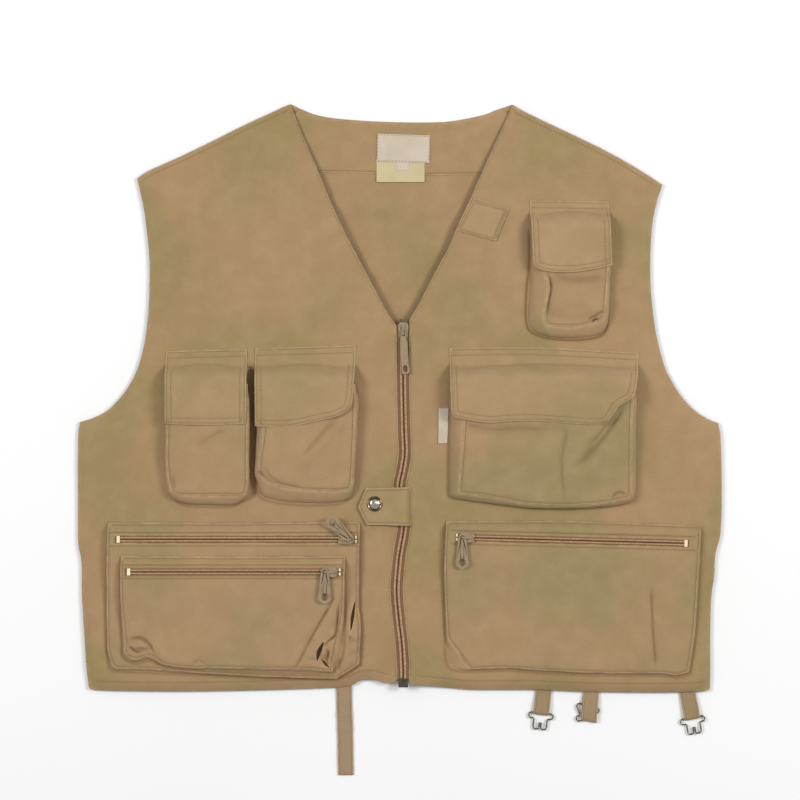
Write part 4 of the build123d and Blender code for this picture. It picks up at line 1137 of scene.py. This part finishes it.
# Sharp folds deeper than 1.5 mm are also painted darker as painted shade.
ZIP_POCKETS = {
    "right_cargo": zip_pocket(
        z=17.0, tape_z=16.0, sag=2.2, zip=((-268.6, -94.0), (-42.4, -94.0)), under=PANEL_Z,
        panel="right_front_panel",
        face=[[(-278.2, -130), (-277.8, -192), (-275.6, -206)],
              [(-272.5, -214.5), (-266, -217)],
              [(-240, -217.5), (-186, -221.4), (-125, -224.6), (-60.5, -226.4)],
              [(-39.2, -212.6)],
              [(-37.4, -178), (-39.4, -150), (-38.2, -77.6)],
              [(-150, -78.6), (-277.4, -78.6)]],
        base=[[(-279.4, -130), (-279.0, -192), (-277.6, -214)],
              [(-274, -219.5), (-262, -220.5)],
              [(-186, -224), (-125, -226.8), (-60.5, -228.4)],
              [(-37.2, -214)],
              [(-36, -178), (-37.8, -150), (-37.2, -76.2)],
              [(-150, -76.8), (-277.0, -76.8)]],
        crease=[([(-47, -124), (-43, -146)], 3.0, -1.2), ([(-48, -186), (-52, -214)], 5.0, 1.8),
                ([(-41.5, -165), (-42, -200)], 2.6, 1.2), ([(-49, -155), (-51, -180)], 2.6, 0.9)],
        slits=[([(-42.6, -153), (-44.8, -166), (-46.8, -181)], 1.4)],
        sharp=[([(-46.9, -184), (-47.5, -194)], 1.2, -2.4),
               ([(-276.2, -82), (-276.8, -102)], 0.8, -3.0), ([(-39.8, -82), (-40.2, -102)], 0.8, -2.8),
               ([(-57, -205), (-58.5, -221)], 1.0, -2.6)],
        ledges=[([(-46.4, -178), (-44.8, -167), (-43.2, -157)], 1.2, 0.9, 5.0)],
        crumples=[((-44, -195), 16.0, 1.1)],
    ),
    "right_zip_pocket": zip_pocket(
        z=22.6, tape_z=22.0, sag=2.6, zip=((-258.2, -124.5), (-57.2, -124.5)), under=17.0,
        panel="right_cargo_face",
        face=[[(-264.4, -150), (-261.0, -190), (-261.5, -199)],
              [(-258, -205), (-250.4, -208), (-243, -205.6), (-236.8, -204.4),
               (-230, -208), (-223.3, -212.6), (-206, -215.2), (-189.3, -216.2)],
              [(-179, -215.4), (-140, -216.4), (-97.8, -216.8), (-80, -217.4), (-64, -219.6)],
              [(-62.8, -210), (-59.5, -192), (-54.8, -172), (-53.0, -152), (-52.0, -109.8)],
              [(-150, -110.4), (-264.4, -109.8)]],
        base=[[(-265.8, -150), (-264.6, -196)],
              [(-263, -206), (-254, -212.4), (-243, -210.6), (-236.8, -209.4),
               (-228, -213), (-214, -217.3), (-189.3, -219.0)],
              [(-140, -220.4), (-97.8, -221.6), (-80, -222.4), (-64, -222)],
              [(-54.5, -206), (-51.6, -178), (-51.4, -150), (-51.0, -108.4)],
              [(-150, -109), (-265.2, -108.4)]],
        crease=[([(-64, -163), (-72, -182), (-84, -204)], 4.5, 1.6),
                ([(-55, -170), (-57, -204)], 3.5, 0.8), ([(-72.5, -198), (-73.5, -207)], 2.4, 1.6),
                ([(-66, -196), (-63, -208)], 2.6, 1.4), ([(-86, -212), (-74, -216)], 3.5, 1.2),
                ([(-257, -197), (-245, -193), (-233, -197), (-224, -205)], 4.5, 2.6),
                ([(-262, -190), (-252, -203), (-240, -199)], 3.2, -2.2),
                ([(-214, -192), (-196, -208)], 6.0, 0.8), ([(-226, -180), (-205, -200)], 7.0, -0.7)],
        sharp=[([(-64, -153), (-74.6, -171), (-85.5, -190), (-93.7, -206.3), (-100, -219)], 1.0, -3.2),
               ([(-58.4, -153), (-59.7, -171), (-61.7, -184.6), (-67.9, -190), (-74, -196)], 1.0, -3.6),
               ([(-70.5, -197), (-67.9, -200.9), (-69.3, -209), (-66.6, -214)], 1.2, -5.0),
               ([(-61, -196), (-64.5, -206)], 1.0, -2.0),
               ([(-258.5, -189.5), (-246, -187.5), (-237, -193.5), (-232, -204)], 1.4, -3.6),
               ([(-257, -194), (-250, -200.5), (-243, -199.5)], 1.3, -4.4),
               ([(-53.6, -112), (-53.5, -128)], 0.8, -3.4), ([(-263.0, -112), (-263.0, -131)], 0.8, -3.0),
               ([(-198, -214), (-190, -209), (-184, -214)], 1.3, -1.8)],
        slits=[([(-72.4, -191), (-76.7, -200.5), (-78.6, -209)], 1.9),
               ([(-74.6, -207.5), (-70, -212.5), (-66.5, -215.6)], 0.9)],
        ledges=[([(-66.5, -157.4), (-74.6, -171), (-85.5, -190), (-93.7, -206.3),
                 (-98.4, -215.8)], 2.0, 0.9, 8.0),
                ([(-72.6, -194.1), (-67.9, -190), (-61.7, -184.6), (-59.7, -171),
                 (-58.4, -158)], 2.4, 0.9, 6.0)],
        crumples=[((-66, -198), 22.0, 1.8), ((-248, -199), 16.0, 1.6)],
    ),
    "left_cargo": zip_pocket(
        z=17.0, tape_z=16.0, sag=2.4, zip=((56.2, -92.15), (272.6, -97.85)), under=PANEL_Z,
        panel="left_front_panel",
        slits=[],
        face=[[(42.2, -110), (42.2, -140), (44.4, -183)],
              [(46, -190), (52.2, -197.5), (60, -208), (67.0, -217.6)],
              [(101, -216.4), (137, -218.8), (187, -221.0), (245, -221.2), (262, -223.4)],
              [(273.4, -220.4)],
              [(279.2, -184), (282.8, -130), (285.4, -81.4)],
              [(160, -77.0), (43.8, -77.2)]],
        base=[[(41.2, -110), (41.0, -140), (42.2, -195)],
              [(43.6, -212), (50, -219), (62, -220.6)],
              [(101, -219.4), (137, -221.8), (187, -223.8), (245, -224.4), (262, -226)],
              [(276.0, -222.6)],
              [(281.6, -184), (285.2, -130), (287.6, -79.8)],
              [(160, -75.4), (42.6, -75.6)]],
        crease=[([(247, -150), (249, -212)], 5.0, -0.7), ([(231, -150), (234, -205)], 6.0, 0.9),
                ([(64, -186), (74, -174)], 3.0, -0.7), ([(257, -182), (252, -204)], 4.0, -0.8),
                ([(232, -128), (236, -104)], 5.0, -0.5), ([(110, -120), (150, -180)], 16.0, 0.8),
                ([(66, -190), (73, -181)], 2.0, -0.8)],
        sharp=[([(237.6, -138), (238.6, -150), (240.2, -184), (243, -219)], 1.5, -2.7),
               ([(45.4, -81), (44.6, -98)], 0.8, -2.8), ([(283.7, -86), (283.0, -106)], 0.8, -3.0)],
        ledges=[([(243, -219), (240.2, -184), (238.5, -146)], 0.8, 1.2, 12.0)],
        crumples=[((52, -208), 12.0, 0.8)],
    ),
}
SLOT = 3.1               # half width of the opening in the face, just outside the coils
SLIDER_HALF = 4.8        # the face is lowered this far out, so that the slider runs clear of it
SLOT_DEPTH = 1.05
CHAIN_PITCH = 1.25


def zip_frame(spec):
    """Start, direction and sideways direction of a pocket zip."""
    a, b = np.array(spec["zip"])
    length = np.linalg.norm(b - a)
    d = (b - a) / length
    return a, d, np.array([-d[1], d[0]]), length


def zip_face_height(spec):
    """Upper surface of a zip pocket's face."""
    a, d, n, length = zip_frame(spec)
    edge_line = closed(chain(*[curve(part, 3.0) for part in spec["face"]]))
    top_line = curve(spec["face"][-1], 4.0)
    level, under = spec["z"], spec["under"]

    def top(x, y):
        along = (x - a[0]) * d[0] + (y - a[1]) * d[1]
        off = (x - a[0]) * n[0] + (y - a[1]) * n[1]
        z = level - spec["sag"] * smooth((-off - 12) / 45) - 0.9 * np.exp(-distance(x, y, edge_line) / 3.5)
        z = z - (level - under - 2.2) * (1 - smooth(distance(x, y, top_line) / 9.0))
        at_slot = bell(np.maximum(np.abs(off) - SLIDER_HALF, 0), 2.2)
        z = z - SLOT_DEPTH * at_slot * smooth((along + 5) / 4) * smooth((length + 5 - along) / 4)
        waves = 0.75 * cloth_noise(x, y, 101, 60) + folds(x, y, spec["crease"]) + creases(x, y, spec["sharp"])
        for line, high, wide, reach in spec["ledges"]:
            waves = waves + ledge(x, y, line, high, wide, reach)
        for (cx, cy), reach, high in spec["crumples"]:
            knots = lattice_noise(x, y, 5.5, 7) + 0.6 * lattice_noise(x, y, 3.2, 8)
            waves = waves + high * bell(np.hypot(x - cx, y - cy), reach) * knots
        z = z + waves * smooth((-off - 8) / 14) + 0.15 * cloth_noise(x, y, 55, 30)
        return np.maximum(z, under + 1.0)
    return top


def slit(line, half):
    """Lens-shaped opening between two folds, along a line."""
    p = curve(line, 1.5)
    swell = half * np.sin(np.pi * np.linspace(0.04, 0.96, len(p)))
    normal = leftward(heading(p)) * swell[:, None]
    return np.vstack([p + normal, (p - normal)[::-1]])


def build_zip_pocket(name, spec):
    top = zip_face_height(spec)
    outline = chain(*[curve(part, 2.2) for part in spec["face"]])
    a, d, n, length = zip_frame(spec)
    corners = [(-1.0, -SLOT), (length + 1.0, -SLOT), (length + 1.0, SLOT), (-1.0, SLOT)]
    holes = [np.array([a + d * u + n * v for u, v in corners])]
    holes += [slit(*opening) for opening in spec["slits"]]
    seams = [side_step(closed(outline), 2.0)[2:-2]]
    seams += [np.array([a + d * u + n * v for u in np.linspace(-7, length + 7, 60)]) for v in (-6.4, 6.4)]
    # deep sharp folds get painted shade, and so does the foot of any pocket sewn on this face
    shape = sheet_shape(outline, top, grid=2.9, seams=seams, holes=holes, thick=0.55, pucker=0.26,
                        seed=len(name) + 1, folded=spec["sharp"] + painted_foot_shadows(f"{name}_face"),
                        spots=[spot[:2] for spot in spec["crumples"]])
    piece = settle(shape, f"{name}_face_cloth", [POCKET, THREAD], [f"{name}_face"])
    base = chain(*[curve(part, 2.2) for part in spec["base"]])
    sewn_on = zip_face_height(ZIP_POCKETS["right_cargo"]) if spec["under"] > PANEL_Z else front_top
    build_gusset(name, gusset_shape(closed(base), closed(outline), top, bulge=0.35, crumple=0.7,
                                          seed=len(name), rest_on=sewn_on, tuck=2.0))


# ------------------------------------------------------------------ zips
def coil_rows(shape, path, z, centre, reach):
    """Two rows of coil wire along a flat path, each centre mm from its middle and 2 reach wide;
    z is the tape's upper side."""
    p = even(path, 0.5)
    run = lengths(p)
    steps = 8
    angle = np.arange(int(run[-1] / CHAIN_PITCH) * steps) * 2 * np.pi / steps
    for side in (-1, 1):
        at = angle / (2 * np.pi) * CHAIN_PITCH + (0.0 if side < 0 else CHAIN_PITCH / 2)
        at = at + 0.25 * np.sin(angle)
        x, y = read_off(at, run, p).T
        hx, hy = read_off(at, run, heading(p)).T
        across = side * (centre + reach * np.cos(angle))
        height = z + 1.0 + 0.72 * np.sin(angle)
        tube(shape, np.column_stack([x - hy * across, y + hx * across, height]), 0.40, sides=5)


def chain_cords(shape, path, z, offsets, paint, radius):
    """Cords that run along the coils: sewing cords at their sides, and in the middle a dark cord that partly
    stands for the shade between the rows.
    """
    for off in offsets:
        line = path + leftward(heading(path)) * off
        tube(shape, np.column_stack([line, np.full(len(path), z)]), radius, 6, paint)


def tape_rows(shape, path, z, outer):
    """Two flat tapes beside the chain; z is their upper side, and their outer edges lie lower."""
    p = even(path, 3.0)
    normal = leftward(heading(p))
    for side in (-1, 1):
        upper = [np.column_stack([p + normal * side * u, np.full(len(p), z - 1.3 * smooth((u - 3.5) / 3.0))])
                 for u in np.linspace(0.45, outer, 6)]
        rings = np.stack(upper + [line - [0, 0, 0.5] for line in upper[::-1]], axis=1)
        # the tape's stitch rows are painted darker: wear and painted shade of their groove
        marks = np.tile(np.isin(np.arange(12), (1, 10)) * 0.8, len(p))
        loft(shape, rings if side < 0 else rings[:, ::-1], seam=marks)


def build_front_zip():
    y = np.linspace(-229.0, 109, 220)
    shape = Shape()
    tape_rows(shape, np.column_stack([chain_x(y), y]), 9.5, 14.0)
    tapes = settle(shape, "front_zip_tape_cloth", [TAPE_CLOTH], ["front_zip_tapes"])
    y = np.linspace(-226.5, 110, 300)
    path = np.column_stack([chain_x(y), y])
    shape = Shape()
    coil_rows(shape, path, 9.0, 1.70, 0.95)
    # middle cord: dark, partly painted shade of the gap between the coil rows
    chain_cords(shape, path, 10.35, [0.0], 1, 0.48)
    chain_cords(shape, path, 9.75, [-3.25, 3.25], 2, 0.36)
    settle(shape, "front_zip_coil_wire", [COIL, COIL_CORE_AND_GAP_SHADE, COIL_EDGE], ["front_zip_coils"])


def build_pocket_chain(name, spec):
    a, d, _, length = zip_frame(spec)
    z = spec["tape_z"]
    path = np.array([a + d * u for u in np.linspace(-2.0, length + 2.0, 160)])
    wire = path[3:-2]
    shape = Shape()
    coil_rows(shape, wire, z, 1.30, 0.62)
    # middle cord: dark, partly painted shade of the gap between the coil rows
    chain_cords(shape, wire, z + 1.35, [0.0], 1, 0.50)
    chain_cords(shape, wire, z + 0.5, [-2.5, 2.5], 2, 0.30)
    settle(shape, f"{name}_coil_wire", [COIL, COIL_CORE_AND_GAP_SHADE, COIL_EDGE], [f"{name}_zip_chain"])
    shape = Shape()
    tape_rows(shape, path, z, 9.6)
    piece = settle(shape, f"{name}_zip_tape_cloth", [TAPE_CLOTH], [f"{name}_zip_chain"])


# ------------------------------------------------------------------ tabs, straps and snap
SNAP_XY = (-24.0, -60.6)
TAB_RIDGE = [(-41, 13.62), (-18, 13.62), (-12, 13.9), (-5, 15.7), (-1, 16.05), (3, 16.1), (6, 15.6),
             (8, 14.2), (9.6, 12.0), (11.2, 10.5)]


def build_snap_tab():
    outline = chain([(11.0, -44.6), (-10, -45.2), (-32.3, -45.7)], [(-39.9, -63.7)],
                    [(-31.4, -80.7), (-8, -81.0), (11.0, -81.5)], [(11.4, -63)])
    ridge = curve(TAB_RIDGE, 0.5)

    def top(x, y):
        flat = np.exp(-(((x - SNAP_XY[0]) ** 2 + (y - SNAP_XY[1]) ** 2) / 90.0))
        waves = 0.35 * cloth_noise(x, y, 131, 22) * (1 - flat)
        return np.interp(x, *ridge.T) + waves * smooth((10 - x) / 8)

    stitch = [(8.6, -47.0), (-31.2, -48.0), (-37.4, -63.7), (-30.4, -78.2), (8.6, -78.9)]
    sewn = [even(stitch, 2.0), np.array([(9.4, -48.5), (9.8, -77.5)])]
    shape = sheet_shape(outline, top, grid=2.0, seams=sewn, thick=0.95, pucker=0.15, seed=12)
    piece = settle(shape, "snap_tab_cloth", [FLAP, THREAD], ["snap_tab", "sewn_strap_ends"],
                   fold=("snap_tab", (10.4, -62, 16.2), (6.0, -62, 16.2)))


def build_snap_cap():
    profile = [(0.01, 13.55), (6.9, 13.55), (7.2, 13.75), (7.3, 14.1), (7.15, 14.5), (6.75, 14.72),
               (6.3, 14.68), (5.95, 14.4), (5.7, 14.32), (5.45, 14.5), (5.15, 15.0), (4.5, 15.55),
               (3.4, 16.0), (2.0, 16.25), (0.8, 16.33), (0.01, 16.34)]
    shape = Shape()
    # the rim gets the dark nickel with its painted reflection
    revolve(shape, SNAP_XY, profile[:12], 56, 1)
    revolve(shape, SNAP_XY, profile[10:], 56)
    settle(shape, "snap_cap_dome", [NICKEL, PAINTED_REFLECTION_NICKEL], ["snap_cap"], "snap_tab")


def build_rod_tab():
    outline = np.array([(54.4, 199.0), (70.2, 230.0), (104.0, 220.0), (91.2, 188.8)])
    root = outline[:2]

    def top(x, y):
        raised = smooth(distance(x, y, root) / 6.0)
        edge = distance(x, y, outline[[1, 2, 3, 0]])
        level = 12.15 - 0.75 * np.exp(-edge / 4.0) + 0.35 * cloth_noise(x, y, 141, 20)
        return (front_top(x, y) + 0.75) * (1 - raised) + level * raised

    inner, second = inset(outline, 2.2), inset(outline, 5.0)
    sewn = [even(inner[[0, 1]], 2), even(inner[[1, 2, 3, 0]], 2), even(second[[1, 2, 3]], 2)]
    shape = sheet_shape(outline, top, grid=2.0, seams=sewn, thick=0.8, pucker=0.18, seed=14)
    across = np.array([0.8885, -0.4586])
    ends = [(*(root.mean(0) + across * reach), 12.3) for reach in (-0.5, 4.0)]
    piece = settle(shape, "rod_tab_cloth", [FLAP, THREAD], ["rod_tab", "sewn_strap_ends"],
                   fold=("rod_tab", *ends))


def build_strap(name, path, wide, across, thick):
    """Webbing along a path whose first point is above the hem."""
    line = curve(path, 1.5)
    shape = Shape()
    flat_strap(shape, line, wide, thick, across)
    hinge_x = STRAP_HINGES[name]
    piece = settle(shape, f"{name}_cloth", [STRAP], [name, "sewn_strap_ends"],
                   fold=(name, (hinge_x, -239.2, 1.3), (hinge_x, -244.5, 1.3)))


STRAP_HINGES = {"tie_strap": -53.3, "inner_hook_strap": 136.8, "outer_hook_strap": 274.0,
                "middle_hook_strap": 182.2}
TIE_PATH = [(-53.3, -228, 1.9), (-53.3, -236, 1.5), (-53.3, -243, 0.9), (-53.0, -256, 0.75),
            (-52.8, -262, 1.5), (-52.6, -268, 0.9), (-52.4, -275, 1.3), (-52.2, -282, 0.75),
            (-52.0, -300, 0.8), (-51.6, -319.4, 0.7)]
MIDDLE_PATH = [(182.4, -229, 1.9), (182.3, -236, 1.6), (182.1, -243, 1.9), (181.4, -250, 3.0),
               (180.6, -258, 3.3), (180.2, -264, 3.2), (180.0, -267.4, 2.7), (179.9, -268.4, 1.9),
               (180.0, -267.4, 1.0), (180.2, -264, 0.5), (180.8, -254, 0.5), (181.4, -246, 0.5)]


def build_straps():
    build_strap("tie_strap", TIE_PATH, 14.8, (1, 0, 0), 1.0)
    for name, root, tip in (("inner_hook_strap", (136.8, -240), (134.6, -260.3)),
                            ("outer_hook_strap", (274.0, -240), (278.4, -264.6))):
        root, tip = np.array(root, float), np.array(tip, float)
        length = np.linalg.norm(tip - root)
        down = (tip - root) / length
        places = [(-11, 1.9), (-4, 1.6), (3, 1.7), (length - 8, 2.75), (length - 1.5, 3.0),
                  (length + 0.95, 2.55), (length + 1.3, 1.7), (length + 0.9, 0.85), (length - 1.0, 0.5),
                  (length - 8, 0.5), (6, 0.5), (0.5, 0.5)]
        path = [(*(root + down * along), z) for along, z in places]
        build_strap(name, path, 15.0, (-down[1], down[0], 0), 0.8)
    lean = np.radians(-12)
    build_strap("middle_hook_strap", MIDDLE_PATH, 15.0, (np.cos(lean), np.sin(lean), 0), 0.8)


# ------------------------------------------------------------------ hardware kept from the design
def finish_cad(names, material, width):
    """Give CAD nodes their finish, and a small round on their edges when a width is given."""
    for name in names:
        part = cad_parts[name]
        part.data.materials.clear()
        part.data.materials.append(material)
        if width:
            weld = part.modifiers.new("weld", "WELD")
            weld.merge_threshold = 0.000005
            bevel = part.modifiers.new("edges", "BEVEL")
            bevel.width = width * MM
            bevel.segments = 3
            bevel.limit_method = "ANGLE"
            bevel.angle_limit = 0.6
            bevel.harden_normals = False
            for polygon in part.data.polygons:
                polygon.use_smooth = False


def finish_hardware():
    sliders = ["front_slider", "front_pull"]
    for name in ZIP_POCKETS:
        sliders += [f"{name}_zip_slider", f"{name}_zip_pull"]
    finish_cad(sliders, ENAMEL, 0.28)
    finish_cad(["front_zip_stops"], DARK_NICKEL, 0.35)
    # stops coloured nearly white: painted highlight
    finish_cad(["pocket_zip_stops"], PAINTED_HIGHLIGHT_BRASS, 0.3)
    finish_cad(["snap_stud", "snap_socket"], NICKEL, 0.15)
    finish_cad(["inner_wire_hook", "middle_wire_hook", "outer_wire_hook"], DARK_NICKEL, 0)
    finish_cad([f"{name}_hook_patch" for name in [*FLAP_POCKETS, "rod_tab"]], HOOKS, 0.12)
    finish_cad(["loop_patches"], LOOPS, 0.12)


# ------------------------------------------------------------------ studio
STUDIO_LIGHTS = (("right_box", (1.55, 0.45, 1.75), 25.0, 0.7), ("left_box", (-1.55, 0.45, 1.75), 23.0, 0.7),
                 ("top_lamp", (0.35, 0.35, 2.3), 2.2, 0.35))
FLOOR_HALF = 6.0
FLOOR_Z = -0.0006
CAMERA_AT = (0.0, 0.038, 2.6)
VIEW_WIDTH = 0.760       # metres seen across at the pockets' height
VIEW_Z = 0.010
SENSOR = 36.0


def build_floor():
    mesh = bpy.data.meshes.new("floor")
    corners = [(FLOOR_HALF * x, FLOOR_HALF * y, 0) for x, y in ((-1, -1), (1, -1), (1, 1), (-1, 1))]
    mesh.from_pydata(corners, [], [(0, 1, 2, 3)])
    floor = link_object("floor", mesh)
    floor.location.z = FLOOR_Z
    paint = Paint("floor", 0.95, Specular_IOR_Level=0.05)
    paint.link(paint.mix(paint.noise(3.0), (250, 250, 250), (247, 247, 247)), "Base Color")
    floor.data.materials.append(paint.material)


def build_lights():
    world = bpy.data.worlds.new("studio")
    world.use_nodes = True
    sky = world.node_tree.nodes["Background"]
    sky.inputs["Color"].default_value = (1.0, 1.0, 1.0, 1.0)
    sky.inputs["Strength"].default_value = 0.40
    bpy.context.scene.world = world
    bpy.context.scene.view_settings.view_transform = "Standard"
    for name, place, power, size in STUDIO_LIGHTS:
        light = bpy.data.lights.new(name, "AREA")
        light.energy = power
        light.size = size
        lamp = link_object(name, light)
        lamp.location = place
        lamp.rotation_euler = (-Vector(place)).to_track_quat("-Z", "Y").to_euler()


def build_camera():
    camera = bpy.data.cameras.new("camera")
    camera.sensor_width = SENSOR
    camera.lens = SENSOR * (CAMERA_AT[2] - VIEW_Z) / VIEW_WIDTH
    eye = link_object("camera", camera)
    eye.location = CAMERA_AT
    bpy.context.scene.camera = eye


build_floor()
build_lights()
build_camera()
build_back()
build_yoke()
build_fronts()
build_side_seams()
build_labels()
for pocket_name, facts in FLAP_POCKETS.items():
    build_flap_pocket(pocket_name, facts)
    build_flap(pocket_name, facts)
for pocket_name, facts in ZIP_POCKETS.items():
    build_zip_pocket(pocket_name, facts)
    build_pocket_chain(pocket_name, facts)
build_front_zip()
build_snap_tab()
build_snap_cap()
build_rod_tab()
build_straps()
finish_hardware()
